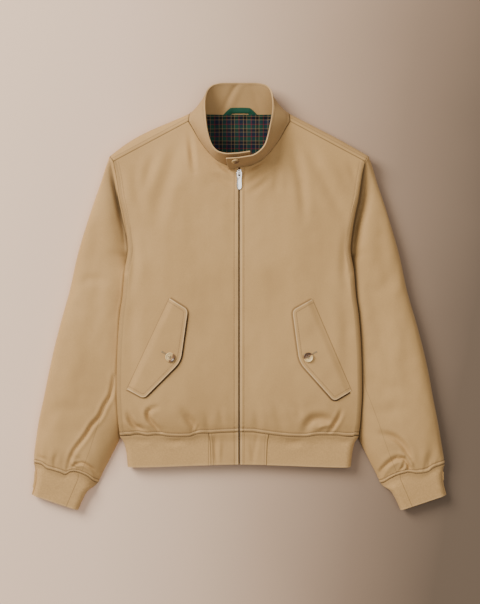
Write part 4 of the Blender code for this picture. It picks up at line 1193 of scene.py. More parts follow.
@dataclass
class Front:
    """One front, turned under at its outer edge and topstitched at the zip, the hem and the armhole."""

    side: Side
    creases: tuple[Crease, ...]
    seed: float
    zip_line: float = 8.0
    flap: Optional["Flap"] = None
    hem_lines: tuple[float, float] = (0.6, 7.4)
    armhole_lines: tuple[float, float] = (5.6, 9.8)
    cloth: Optional[Cloth] = None

    def places(self) -> tuple[Array, Array, Array]:
        """The grid's places: along the rows, across them, and round the turned edge."""
        rows = spread(
            range(LAST_ROW + 1),
            [8, 7, 4, 4, 5, 6, 10, 12, 12, 12, 10, 4, 4, 4, 4, 5, 5, 5, 5, 5, 4, 4, 4, 3, 3, 3, 3]
        )
        near = np.array([0, 0.7, 1.5, 2.6, 4, 5.4, 6.6, 7.3, 8, 8.7, 9.5, 11, 13.2]) / 215
        far = 1 - np.array([13, 10.5, 8.6, 7, 5.8, 4.8, 4.0, 3.2, 2.2, 1.1, 0]) / 215
        middle = np.linspace(near[-1], far[0], 74)[1:-1]
        return rows, np.concatenate([near, middle, far]), spread(range(CURLS + 1), [4] * CURLS)[1:]

    def grid(self, rows: Array, across: Array, curls: Array, detailed: bool = True) -> tuple[Array, Array]:
        """The outer face.

        Args:
            rows: places from the hem seam to the shoulder seam.
            across: shares of the way from the zip or neck to the turned edge.
            curls: places round the turned edge.
            detailed: whether creases, seams and rumples are in it.

        Returns:
            Its points, and its thread coordinates in millimetres.
        """
        edge_y, zip_y, neck = (FRONT_ROWS.read(c, rows) for c in ("edge_y", "zip_y", "neck"))
        edge, out = edge_frame(edge_y)
        on_zip = np.stack([np.full_like(zip_y, ZIP_GAP / 2), zip_y], axis=-1)
        inner = np.where((rows <= NECK_ROW)[:, None], on_zip, curve(FRONT_NECK, neck))
        inner_z = mix(FRONT_HEIGHT.read("zip", np.minimum(zip_y, 225)), SHOULDER_THICK, ease(neck))
        edge_z, swell = FRONT_HEIGHT.read("edge", edge_y), FRONT_HEIGHT.read("swell", edge_y)
        start = edge - out * curl_sizes(edge_y)[0][:, None]
        wide = np.linalg.norm(start - inner, axis=1)[:, None]
        t = across[None, :]
        x = mix(inner[:, :1], start[:, :1], t)
        y = mix(inner[:, 1:], start[:, 1:], t)
        hem = LEFT_HEM if self.side is Side.LEFT else RIGHT_HEM
        drop = hem.read("y", x) - mix(-260, -266, t)
        y = y + np.where(edge_y <= -232, ease((-232 - edge_y) / 30), 0)[:, None] * drop
        z = mix(inner_z[:, None], edge_z[:, None], t**1.5) + swell[:, None] * np.sin(pi * t)
        if detailed:
            z += self.relief(x, y, t * wide, (1 - t) * wide + curl_sizes(edge_y)[0][:, None], rows, edge_y)
        flat = np.stack([self.side.value * x, y, z], axis=-1)
        turns = []
        for k, (y_edge, top) in enumerate(zip(edge_y, edge_z)):
            line = curl_points(float(y_edge), float(top), curls)
            plan = edge[k] + out[k] * line[:, :1]
            shift = z[k, -1] - top
            high = line[:, 1] + shift * np.exp(-curls)
            turns.append(np.column_stack([self.side.value * plan[:, 0], plan[:, 1], high]))
        turn = np.array(turns)
        points = np.concatenate([flat, turn], axis=1)
        strip = np.concatenate([flat[:, -1:], turn], axis=1)
        steps = np.cumsum(np.linalg.norm(np.diff(strip, axis=1), axis=2), axis=1)
        u = np.concatenate([x, x[:, -1:] + steps], axis=1)
        v = np.concatenate([y, np.repeat(y[:, -1:], len(curls), axis=1)], axis=1)
        return points, np.stack([u, v], axis=-1)

    def relief(
        self, x: Array, y: Array, from_inner: Array, from_edge: Array, rows: Array, edge_y: Array
    ) -> Array:
        """What creases, seams, puckers and rumples add to the height.

        Args:
            x: places across, on the wearer's left half.
            y: places along.
            from_inner: distances from the zip or neck edge.
            from_edge: distances from the outer edge.
            rows: each row's place.
            edge_y: each row's place on the outer edge.

        Returns:
            The change in height.
        """
        row = rows[:, None]
        here = self.side.value * x
        from_hem = y - y[:1]
        fade = (
            ease(from_hem / 6) * ease((254 - edge_y[:, None]) / 25) * ease(from_inner / 9)
            * ease(from_edge / 16)
        )
        total = creased(self.creases, here, y) * fade
        calm = ease(from_hem / 40) * ease((254 - edge_y[:, None]) / 40)
        total += rumple(here, y * 0.45, 52, self.seed) * 1.15 * calm * ease(from_inner / 20)
        total += rumple(here, y * 0.7, 19, self.seed + 5) * 0.32 * calm
        on_zip = 1 - ease((row - NECK_ROW + 0.6) / 0.8)
        total -= 0.42 * bell(from_inner - self.zip_line, 0.75) * on_zip
        total += 0.35 * bell(from_inner - 4, 3) * on_zip
        total += (
            0.22 * np.sin(y * 2 * pi / 8.3 + 3 * rumple(here * 0, y, 40, 3)) * bell(from_inner - 6, 3.5)
            * on_zip
        )
        total -= 0.9 * bell(from_inner, 0.9)
        for at in self.hem_lines:
            total -= 0.7 * bell(from_hem - at, 1.0)
        total += 0.7 * bell(from_hem - 4, 2.4)
        pucker = np.sin(here * 2 * pi / 7.6 + 5 * rumple(here, y * 0, 30, self.seed + 2))
        total += 0.22 * pucker * bell(from_hem - 7, 5) * (0.45 + 0.55 * rumple(here, y * 0, 24, 9) ** 2)
        on_arm = ease((row - UNDERARM_ROW) / 1.0) * (1 - ease((row - LAST_ROW + 1.0) / 1.0))
        for at in self.armhole_lines:
            total -= 0.42 * bell(from_edge - at, 0.75) * on_arm
        total += 0.4 * bell(from_edge - 3, 2.4) * on_arm
        total += (
            0.2 * np.sin(y * 2 * pi / 8.9 + 4 * rumple(here * 0, y, 36, 4)) * bell(from_edge - 8, 4)
            * on_arm
        )
        return total

    def make(self, finishes: "Kit") -> None:
        """Build the front and tie it to its node."""
        rows, across, curls = self.places()
        points, uv = self.grid(rows, across, curls)
        self.cloth = Cloth(
            f"front_{self.side.word}_twill", points, CLOTH, finishes.front, uv=uv,
            fields=self.fields(points, rows, across)
        ).make()
        self.cloth.join(f"front_{self.side.word}", "twill", (0.31, 0.63), 0.155, ["back"])

    def fields(self, points: Array, rows: Array, across: Array) -> dict[str, Array]:
        """How far each of its points is from its seams, edges and flap, its painted highlight and shade, and
        the strength of the flap's painted shadow.
        """
        x, y = points[..., 0] * self.side.value, points[..., 1]
        flat = len(across)
        start = points[:, :1]
        on_zip = (rows <= NECK_ROW)[:, None]
        to_edge = (
            np.linalg.norm(points[:, flat - 1:flat] - points, axis=2) + curl_sizes(y[:, flat - 1:flat])[0]
        )
        to_edge[:, flat:] = 0
        on_arm = (
            ease((rows - UNDERARM_ROW) / 0.6)[:, None] * (1 - ease((rows - LAST_ROW + 0.7) / 0.5))[:, None]
        )
        to_flap = signed(self.flap.free_line(), x, y)
        best, _, share = beside(self.flap.free_line(), x, y)
        shade = np.interp(share, *FLAP_SHADE[self.side])
        gone = ease((40 - best) / 10)
        from_top = np.linalg.norm(points[-1:] - points, axis=2)
        return {
            "hem": np.linalg.norm((points - points[:1])[..., :2], axis=2), "worn": self.shade(x, y, flat),
            "zip": np.where(on_zip, x - start[..., 0] * self.side.value, FAR),
            "edge": np.where(on_arm > 0.5, to_edge, FAR),
            "neck": beside(np.array(FRONT_NECK), x, y)[0] + FAR * (y < 240), "shoulder": from_top,
            "flap": np.where((share < 0.001) | (share > 0.999), FAR, -to_flap), "flap_shade": shade * gone,
        }

    def shade(self, x: Array, y: Array, flat: int) -> Array:
        """Where the cloth is paler, above 0, in a patch by the underarm, and painted shade, below 0, on the
        turned edge.
        """
        worn = 0.18 * bell(y - 43, 6) * bell(x - 216, 6)
        worn[:, flat:] -= 0.25
        return worn

    def turned_edge(self, rows: Array) -> Array:
        """The last points of rows, where the turned edge ends."""
        return self.grid(rows, np.array([0.0, 1.0]), np.array([float(CURLS)]), detailed=False)[0][:, -1]


def back_edge(side: Side, rows: Array) -> Array:
    """The armhole's edge on the flat back, for places 0 at the underarm to 10 at the shoulder."""
    y = BACK_ROWS.read("edge_y", rows)
    return np.column_stack([side.value * BACK_ARMHOLE.read("x", y), y, 0 * y])


@dataclass
class Back:
    """The back, flat on what it lies on and brought over the shoulders to the seam on the front."""

    cloth: Optional[Cloth] = None

    def half(self, front: Front) -> Array:
        """One half, from the middle to its edge, in rows from the hem, over the shoulder, to its seam."""
        shares = np.linspace(0, 1, 41)[None, :, None]
        rows = spread(range(UNDERARM_ROW + 1), [3, 3, 3, 4, 5, 6, 9, 10, 10, 9])
        seam = front.turned_edge(rows) * (front.side.value, 1, 1)
        seam = seam - np.column_stack([np.full(len(rows), 0.9), 0 * rows, seam[:, 2]])
        edge_y, zip_y = FRONT_ROWS.read("edge_y", rows), FRONT_ROWS.read("zip_y", rows)
        middle = np.column_stack([0 * rows, mix(BACK_HEM_Y, zip_y, ease((edge_y + 266) / 200)), 0 * rows])
        body = mix(middle[:, None], seam[:, None], shares)
        upper = spread(range(11), [4, 5, 6, 7, 7, 6, 3, 3, 3, 3])[1:]
        neck = BACK_ROWS.read("neck", upper)[:, None]
        centre = np.column_stack([0 * upper, BACK_ROWS.read("centre_y", upper)])
        inner = mix(centre, np.array(NECK_POINT_BACK), neck)
        inner = np.column_stack([inner, 0 * upper])
        chest = mix(inner[:, None], back_edge(Side.LEFT, upper)[:, None], shares)
        up = np.array([-SHOULDER_RUN[1], SHOULDER_RUN[0], 0])
        turn = []
        for angle in np.radians(np.linspace(0, 180, 33)[1:]):
            ends = [
                turned(*places, angle) for places in (
                    (NECK_POINT_FRONT, NECK_POINT_EDGE, NECK_POINT_BACK),
                    (SHOULDER_FRONT, SHOULDER_EDGE, SHOULDER_BACK)
                )
            ]
            away = up * SHOULDER_SEAM_GAP * (angle > 3.1)
            bulge = SHOULDER_BULGE[front.side] * sin(angle) * np.sin(pi * shares[0] ** 1.4)
            turn.append(mix(ends[0] + away, ends[1] + away, shares[0]) + up * bulge)
        return np.concatenate([body, chest, np.array(turn)], axis=0)

    def make(self, left: Front, right: Front, finishes: "Kit") -> None:
        """Build the back and tie it to its node."""
        halves = [self.half(front) for front in (left, right)]
        points = np.concatenate([halves[1][:, ::-1] * (-1, 1, 1), halves[0]], axis=1)
        x, y, z = points[..., 0], points[..., 1], points[..., 2]
        lift = (
            np.clip(rumple(x, y * 0.5, 60, 21) * 1.2 - 0.5, 0, 2) * ease((y - BACK_HEM_Y) / 30)
            * ease((235 - np.abs(x)) / 40)
        )
        from_seam = SHOULDER_THICK - z
        welt = 0.5 * bell(from_seam - 0.8, 0.9) * (z > 30) - 0.35 * bell(from_seam - 2.6, 0.7) * (z > 30)
        points = np.stack(
            [x, y, z + np.where(z < 1, lift, 0) + welt + rumple(x, y, 22, 31) * 0.35 * ease((z - 4) / 14)],
            axis=-1,
        )
        seam_line = np.array([NECK_POINT_FRONT, SHOULDER_FRONT])
        from_shoulder = beside(seam_line, np.abs(x), y)[0] + FAR * (z < 12)
        neck_line = np.array([NECK_POINT_FRONT, NECK_POINT_EDGE, NECK_POINT_BACK])
        from_neck = beside(neck_line, np.abs(x), y)[0] + FAR * (z < 3)
        self.cloth = Cloth(
            "back_twill", points, CLOTH, finishes.back, up=(0, 0, -1), parted=halves[1].shape[1] - 1,
            fields={"shoulder": from_shoulder, "neck": from_neck},
        ).make()
        self.cloth.join("back", "twill", (0.52, 0.70), 0.27)


# ---------------------------------------------------------------- sleeves and cuffs


LEFT_SLEEVE_CREASES = (
    Crease(
        ((272, -262), (284, -265), (295, -269), (305, -276), (315, -287), (321, -298), (325, -310)), 6.0,
        6.2, 0.2,
    ),
    Crease(
        ((268, -342), (277, -327), (289, -315), (302, -309), (312, -309), (319, -317), (326, -328)), 4.4,
        6.0, 0.2,
    ),
    Crease(((306, -300), (318, -304), (324, -313), (331, -326)), 3.5, -2.6),
    Crease(((314, -318), (313, -326), (310, -332)), 3, 3.0),
    Crease(((322, -320), (324, -328), (324, -334)), 3, 2.4),
    Crease(((352, -334), (358, -322), (366, -300)), 8, 2.0),
    Crease(((378, -322), (372, -306), (368, -286)), 8, 1.6),
    Crease(((255, 190), (268, 120), (276, 50), (292, -30)), 14, 2.2),
    Crease(((250, 60), (262, -20), (276, -100)), 16, 2.2),
    Crease(((318, -60), (322, -120), (336, -190)), 15, 2.0),
    Crease(((246, -150), (276, -172), (310, -176)), 13, 1.8),
    Crease(((250, -216), (276, -222), (306, -214)), 12, 1.8),
    Crease(((300, 60), (280, 20), (256, 4)), 13, 1.8),
)
RIGHT_SLEEVE_CREASES = (
    Crease((
        (-238, -152), (-245, -188), (-257, -209), (-266, -229), (-281, -246), (-291, -263), (-303, -279),
        (-315, -295), (-321, -308), (-326, -326),
    ), 4.0, 5.0, 0.35),
    Crease(((-318, -328), (-311, -320), (-300, -318), (-288, -324), (-272, -338)), 3.4, 4.4, 0.2),
    Crease(((-316, -306), (-308, -311), (-298, -311)), 5, 3.0, 0.2),
    Crease(((-320, -316), (-316, -322), (-309, -327)), 2.5, -1.8),
    Crease(((-384, -306), (-378, -310), (-370, -312)), 4, 1.8),
    Crease(((-350, -330), (-352, -318), (-348, -300)), 5, 1.8),
    Crease(
        ((-247, 262), (-243.5, 240), (-238.5, 215), (-232, 190), (-225, 155), (-218, 125), (-214, 96)),
        5.0, 6.0, 0.2,
    ),
    Crease(((-262, 190), (-272, 120), (-280, 50), (-296, -20)), 16, 2.0),
    Crease(((-262, 60), (-268, 10), (-276, -60)), 14, 2.0),
    Crease(((-326, -70), (-334, -130), (-350, -190)), 15, 2.0),
    Crease(((-300, 26), (-282, 34), (-258, 30)), 8, 2.0),
    Crease(((-318, 12), (-326, 0), (-334, -8)), 8, 1.8),
    Crease(((-356, -224), (-334, -214), (-308, -216)), 12, 1.8),
    Crease(((-372, -196), (-366, -226), (-372, -256)), 12, 1.8),
)
LEFT_VALLEY = Table(
    "y deep wide", (20, 0, 8), (60, 10, 7), (92, 16, 6), (130, 20, 6), (170, 20, 7), (205, 17, 7),
    (232, 11, 6), (250, 5, 5), (262, 0, 4),
)
RIGHT_VALLEY = Table(
    "y deep wide", (20, 0, 8), (60, 5, 8), (110, 8, 7), (150, 7, 7), (200, 3, 5), (235, 0, 5)
)
SLEEVE_SEAMS = {
    Side.RIGHT: (
        (-238, -150), (-240, -168), (-249, -197), (-264, -229), (-274, -259), (-286, -296), (-297, -325),
        (-303, -340),
    ),
    Side.LEFT: (
        (238, -150), (241, -176), (253, -207), (265, -239), (275, -269), (289, -308), (297, -327),
        (303, -342),
    ),
}
LEFT_HEAD_SHADE = Table(
    "y dark wide", (-266, 1.05, 3.4), (-180, 1.05, 3.4), (-60, 1.05, 4), (40, 1.0, 5.5), (110, 0.92, 7.5),
    (175, 0.90, 9.5), (215, 0.90, 7.5), (245, 0.85, 4), (262, 0.6, 1.5),
)
RIGHT_HEAD_SHADE = Table(
    "y x dark", (40, 213, 0), (70, 213, 0.25), (109, 215, 0.65), (153, 224.5, 0.95), (190, 232, 1.05),
    (215, 238.5, 0.9), (240, 243.5, 0.55), (262, 247, 0.2),
)
CUFF_WAVE = {
    Side.LEFT: Table(
        "share up", (0, 0), (0.14, -0.4), (0.265, -5.0), (0.42, -2.4), (0.565, 4.7), (0.69, 4.8),
        (0.835, 2), (0.97, -3.3), (1, -3.5),
    ),
    Side.RIGHT: Table(
        "share up", (0, 2.5), (0.08, 3.6), (0.205, -1.3), (0.32, -1), (0.405, -1.3), (0.485, -2.9),
        (0.56, 5.5), (0.66, 8.5), (0.80, 6.5), (0.97, -2), (1, -2.5),
    ),
}


def cuff_wave(side: Side, plan: Array) -> Array:
    """How far a sleeve's seam with its cuff moves, in plan, from the straight line between its ends."""
    outer, inner = np.array(SLEEVE_OUTER[-1]), np.array(SLEEVE_INNER_EDGE[-1])
    across = inner - outer
    share = (plan - outer) @ across / (across @ across)
    up = CUFF_WAVE[side].read("up", np.clip(share, 0, 1))
    flare = 3.2 * bell(share, 0.06)
    return np.stack([-0.273 * up + flare * 0.96, 0.962 * up + flare * 0.27], axis=-1)


@dataclass
class Sleeve:
    """A set-in sleeve, from its armhole to its gathered seam with the cuff."""

    side: Side
    creases: tuple[Crease, ...]
    seed: float
    head_gap: float = 0.55
    tuck_gap: float = 0.35
    back_gap: float = 0.6
    cuff_lines: tuple[float, float] = (0.6, 7.4)
    cloth: Optional[Cloth] = None
    last: Optional[Array] = None
    upper: Optional[Array] = None

    def armhole(self, front: Front) -> tuple[Array, Array, Array]:
        """The armhole on the wearer's left half: the shoulder's turn, down the front, and up the back."""
        ends = (SHOULDER_FRONT, SHOULDER_EDGE, SHOULDER_BACK)
        along = np.array([*SHOULDER_RUN, 0]) * self.head_gap
        turn = np.array([turned(*ends, a) + along for a in np.radians(np.linspace(0, 172, 25))])
        rows = spread(range(UNDERARM_ROW, LAST_ROW + 1), [6] * (LAST_ROW - UNDERARM_ROW))[::-1]
        down = front.turned_edge(rows) * (front.side.value, 1, 1)
        down[:, 2] -= self.tuck_gap + 1.4 * ease((ARMHOLE_FOLD_Y - down[:, 1]) / 25)
        down[0] += along
        places = np.linspace(0, 10, 42)[1:-1]
        up = back_edge(Side.LEFT, places)
        run = np.gradient(up, axis=0)
        out = np.column_stack([run[:, 1], -run[:, 0], 0 * places])
        return turn, down, up + unit(out) * self.back_gap

    def height(self, x: Array, y: Array, share: Number) -> Array:
        """The upper face's height at places in plan, on the wearer's left half."""
        from_inner = np.maximum(x - self.inner.read("x", y), 0) * 0.97
        from_outer = np.maximum(self.outer.read("x", y) - x, 0) * 0.96
        high, low = SLEEVE_PUFF.read("high", share), self.inner.read("z", y)
        plateau = low + (high - low) * (1 - np.exp(-from_inner / SLEEVE_RISE))
        valley = LEFT_VALLEY if self.side is Side.LEFT else RIGHT_VALLEY
        far = from_inner / valley.read("wide", y)
        plateau = plateau - valley.read("deep", y) * far * np.exp(1 - far)
        edge = mix(SHOULDER_THICK / 2, SLEEVE_EDGE, ease(share / 0.15))
        round_share = np.minimum(from_outer / SLEEVE_ROUND, 1)
        z = edge + (plateau - edge) * np.sqrt(1 - (1 - round_share) ** 2)
        fade = ease(from_outer / 12) * ease(from_inner / 8) * ease((1 - share) / 0.012) * ease(share / 0.02)
        here = self.side.value * x
        z += creased(self.creases, here, y) * fade
        calm = ease(share / 0.06) * ease(from_inner / 14) * ease(from_outer / 8)
        z += rumple(here + y * 0.25, y * 0.5, 46, self.seed) * 1.5 * calm
        z += rumple(here, y * 0.8, 17, self.seed + 4) * 0.4 * calm
        free = mix(100.0, wedge_height(x, y), ease(share / 0.02))
        bound = free - (free - z + np.sqrt((free - z) ** 2 + 9)) / 2 + 0.8
        return np.maximum(np.where(z > free - 8, bound, z), SLEEVE_INNER - 1.2)

    def grid(self, front: Front) -> Array:
        """The outer face as rings from the armhole to the cuff seam, on the wearer's left half."""
        turn, down, up = self.armhole(front)
        seam = sorted((p[1], p[0], p[2]) for p in down)
        inner = [(y, x, SLEEVE_INNER) for x, y in SLEEVE_INNER_EDGE if y < UNDERARM_Y - 1]
        self.inner = Table("y x z", *inner, *seam[::3])
        swell, at, wide = SLEEVE_SWELL[self.side]
        outline = [
            (x + swell * float(bell(y - at, wide) * ease((268.6 - y) / 60)), y) for x, y in SLEEVE_OUTER
        ]
        self.outer = Table("y x", *[(y, x) for x, y in outline])
        quarter = 13
        line = np.concatenate([turn[quarter:], down])
        even = np.linspace(0, 1, 78)
        top_line = read_line(line, shares_along(line), even)
        bottom_line = np.concatenate([down[-1:], up, turn[:1]])
        even_low = np.linspace(0, 1, 34)[1:-1]
        bottom = read_line(bottom_line, shares_along(bottom_line), even_low)
        start_outer = np.array(SHOULDER_EDGE)
        start_across = np.array(SLEEVE_INNER_EDGE[0]) - start_outer
        shares = np.concatenate([
            np.array([0, 0.0015, 0.004, 0.008, 0.013, 0.02]), np.linspace(0.027, 0.93, 112),
            np.linspace(0.935, 0.972, 10), np.linspace(0.975, 1, 17),
        ])
        rings = []
        for share in shares:
            outer, inner_point = curve(outline, share**0.95), curve(SLEEVE_INNER_EDGE, share**1.1)
            keep, keep_z = 1 - float(ease(share / 0.30)), 1 - float(ease(share / 0.06))
            across = inner_point - outer
            wide = float(np.linalg.norm(across))
            edge = mix(SHOULDER_THICK / 2, SLEEVE_EDGE, float(ease(share / 0.15)))
            ring = []
            for k in range(quarter):
                angle = radians(7.17 * k)
                run = SLEEVE_EDGE_RUN * (1 - sin(angle))
                at_start = run / np.linalg.norm(start_across)
                plan = (
                    outer + across * run / wide
                    + (turn[k][:2] - start_outer - start_across * at_start) * keep
                )
                ring.append((*plan, mix(edge * (1 - cos(angle)), turn[k][2], keep_z)))
            plan = (
                outer + across * even[:, None]
                + (top_line[:, :2] - start_outer - start_across * even[:, None]) * keep
            )
            z = self.height(plan[:, 0], plan[:, 1], share)
            if keep_z > 0:
                z += (top_line[:, 2] - self.height(top_line[:, 0], top_line[:, 1], 0.0)) * keep_z
            z[-1] = mix(SLEEVE_INNER, down[-1][2], keep_z)
            back_at = mix(1 - 3.5 / wide, SLEEVE_EDGE_RUN / wide, even_low)[:, None]
            start_at = (1 - even_low)[:, None]
            low = outer + across * back_at + (bottom[:, :2] - start_outer - start_across * start_at) * keep
            parts = [np.array(ring), np.column_stack([plan, z]), np.column_stack([low, 0 * even_low])]
            rings.append(np.concatenate(parts))
        self.upper = np.array([False] * quarter + [True] * len(even) + [False] * len(even_low))
        return np.array(rings)

    def make(self, front: Front, finishes: "Kit") -> None:
        """Build the sleeve and tie it to its node."""
        points = self.grid(front)
        from_head = lengths_along(points[:, 50])[:, None]
        to_cuff = from_head[-1] - from_head
        normal = face_normals(points, closed=True)
        normal = normal * np.sign(normal[60, 50, 2])
        around = np.cumsum(np.linalg.norm(np.diff(points, axis=1, prepend=points[:, :1]), axis=2), axis=1)
        push = np.zeros(points.shape[:2])
        for at in self.cuff_lines:
            push -= 0.6 * bell(to_cuff - at, 1.0)
        push += 0.8 * bell(to_cuff - 4, 2.6)
        gather = np.sin(around * 2 * pi / 10.5 + 6 * rumple(around, around * 0, 40, self.seed + 1))
        push += 0.22 * gather * bell(to_cuff - 9, 8) * ease(to_cuff / 3)
        push += (
            0.5 * np.sin(around * 2 * pi / 31 + 4 * rumple(around, around * 0, 50, self.seed + 6))
            * bell(to_cuff - 22, 15)
        )
        push += (
            0.2 * np.sin(around * 2 * pi / 11) * bell(from_head - 5, 4) + 0.8 * bell(from_head - 3.2, 2.2)
        )
        lifted = np.where((points[..., 2] < 0.05) & (normal[..., 2] < 0), 0, push)
        points = points + normal * lifted[..., None]
        points[..., 2] = np.maximum(points[..., 2], 0)
        points[..., :2] += cuff_wave(self.side, points[..., :2]) * bell(to_cuff, 16)[..., None]
        self.last = points[-1].copy()
        uv = np.stack([around, np.broadcast_to(-from_head, around.shape)], axis=-1)
        x, y = points[..., 0], points[..., 1]
        seam = signed(SLEEVE_SEAMS[self.side], x * self.side.value, y)
        fields = {
            "head": from_head + 0 * x, "cuff": to_cuff + 0 * x,
            "seam": np.where(self.upper & (y < -140) & (to_cuff > 7), seam, FAR),
            "worn": self.shade(x, y, points[..., 2]),
        }
        points = points * (self.side.value, 1, 1)
        self.cloth = Cloth(
            f"sleeve_{self.side.word}_twill", points, CLOTH, finishes.sleeve, closed=True, uv=uv,
            fields=fields
        ).make()
        nodes = f"sleeve_{self.side.word} sleeve_under_{self.side.word}"
        self.cloth.join(nodes, "twill", (0.46, 0.62), 0.22, ["back"])

    def shade(self, x: Array, y: Array, z: Array) -> Array:
        """Painted shade where the body shades the sleeve, below 0, and a painted highlight along its outer
        edge, above 0.
        """
        edge, _ = edge_frame(np.clip(y, -266, 250))
        away = x - edge[..., 0]
        pale = 0.35 * bell(self.outer.read("x", y) - x, 2.5) * (z > 8)
        if self.side is Side.LEFT:
            dark, wide = LEFT_HEAD_SHADE.read("dark", y), LEFT_HEAD_SHADE.read("wide", y)
            return pale - dark * bell(np.maximum(away, 0), wide) * (z > 2) * (y > -300)
        beyond = x - RIGHT_HEAD_SHADE.read("x", y)
        soft = (
            np.exp(-np.maximum(beyond, 0) / 13) * ease((beyond + 2) / 2) * RIGHT_HEAD_SHADE.read("dark", y)
            * (y > 41)
        )
        return (
            pale - 0.35 * bell(np.maximum(away, 0), 2.6) * (z > 2) * (y > -300) * (y < 120) - soft * (z > 4)
        )


@dataclass
class Cuff:
    """A knitted cuff of fine ribs that run along the arm."""

    side: Side
    seam: tuple[tuple[float, float], ...] = ((307.6, -340), (308, -349), (330, -400), (334, -410))
    pitch: float = 2.5
    deep: float = 0.06
    gap: float = 0.5
    cloth: Optional[Cloth] = None

    def make(self, sleeve: Sleeve, finishes: "Kit") -> None:
        """Build the cuff and tie it to its node."""
        last, upper = sleeve.last, sleeve.upper
        outer, inner = np.array(SLEEVE_OUTER[-1]), np.array(SLEEVE_INNER_EDGE[-1])
        across = inner - outer
        wide = float(np.linalg.norm(across))
        places = (last[:, :2] - outer) @ across / wide**2
        shares = np.concatenate([np.linspace(0, 0.12, 5), np.linspace(0.15, 0.94, 20), [0.965, 0.985, 1.0]])
        rings = []
        for share in shares:
            out_now, in_now = (
                np.array([CUFF_ROWS.read(f"{end}_{axis}", share) for axis in "xy"])
                for end in ("outer", "inner")
            )
            thick, oval = float(CUFF_ROWS.read("thick", share)), float(CUFF_ROWS.read("oval", share))
            plan = mix(out_now, in_now, places[:, None])
            inside = np.maximum(np.minimum(places, 1 - places) * np.linalg.norm(in_now - out_now), 0)
            rounded = np.sqrt(1 - (1 - np.minimum(inside / (thick * 0.55), 1)) ** 2)
            z = thick / 2 * np.where(upper, 1 + rounded, 1 - rounded)
            rings.append(np.column_stack([plan, mix(last[:, 2], z, oval)]))
        coarse = np.array(rings)
        wave = cuff_wave(self.side, mix(outer, inner, places[:, None]))
        coarse[1:, :, :2] += wave[None] * (1 - ease(shares[1:] / 0.55))[:, None, None]
        coarse[0] = last + np.array([0.273, -0.962, 0]) * self.gap
        closed = np.concatenate([coarse, coarse[:, :1]], axis=1)
        shares_round = shares_along(closed[len(closed) // 2])
        around = float(np.linalg.norm(np.diff(closed[len(closed) // 2], axis=0), axis=1).sum())
        ribs = int(round(around / self.pitch))
        even = np.linspace(0, 1, ribs * 4 + 1)[:-1]
        points = np.array([read_line(row, shares_round, even) for row in closed])
        normal = face_normals(points, closed=True)
        normal = normal * np.sign(normal[10, np.argmax(points[10, :, 2]), 2])
        wave = np.cos(even * ribs * 2 * pi)[None, :] * np.ones((len(points), 1))
        along = shares[:, None] * 62
        push = self.deep * wave * ease(along / 3)
        push += rumple(even[None, :] * around, along, 30, 7.0 + self.side.value) * 0.5 * ease(along / 8)
        points = points + normal * push[..., None]
        points[..., 2] = np.maximum(points[..., 2], 0)
        uv = np.stack(
            [np.broadcast_to(even * ribs * self.pitch, push.shape), np.broadcast_to(-along, push.shape)],
            axis=-1,
        )
        seam = signed(self.seam, points[..., 0], points[..., 1])
        fields = {
            "top": along + 0 * seam, "seam": np.where(points[..., 2] > 8, seam, FAR),
            # Painted highlight and wear at the cuff's free end, and painted shade just below its seam with
            # the sleeve.
            "worn": 0.4 * bell(along - 62, 2.5) - 0.25 * bell(along - 3, 5) + 0 * seam,
        }
        points = points * (self.side.value, 1, 1)
        self.cloth = Cloth(
            f"cuff_{self.side.word}_knit", points, RIB_WALL, finishes.knit, closed=True, uv=uv, rim=0.7,
            rim_steps=3, fields=fields,
        ).make()
        self.cloth.join(f"cuff_{self.side.word}", "rib", (0.27, 0.065), 0.0172)


# ---------------------------------------------------------------- bottom band


BAND_CREASES = (
    Crease(((-139, -276), (-124, -278), (-106, -276)), 6, 1.8),
    Crease(((-196, -275), (-184, -277), (-172, -275)), 5, 1.2),
    Crease(((88, -276), (104, -280), (122, -277)), 7, 1.8),
    Crease(((186, -276), (200, -279), (214, -276)), 6, 1.2),
)
TAB_CREASES = (
    Crease(((-46, -268), (-46, -290), (-43, -318)), 4, 1.6),
    Crease(((-36, -272), (-37, -292), (-39, -316)), 4, -0.9),
    Crease(((34, -264), (30, -288), (27, -316)), 4.5, 1.5),
    Crease(((24, -268), (23, -290), (24, -310)), 4, 1.0),
)


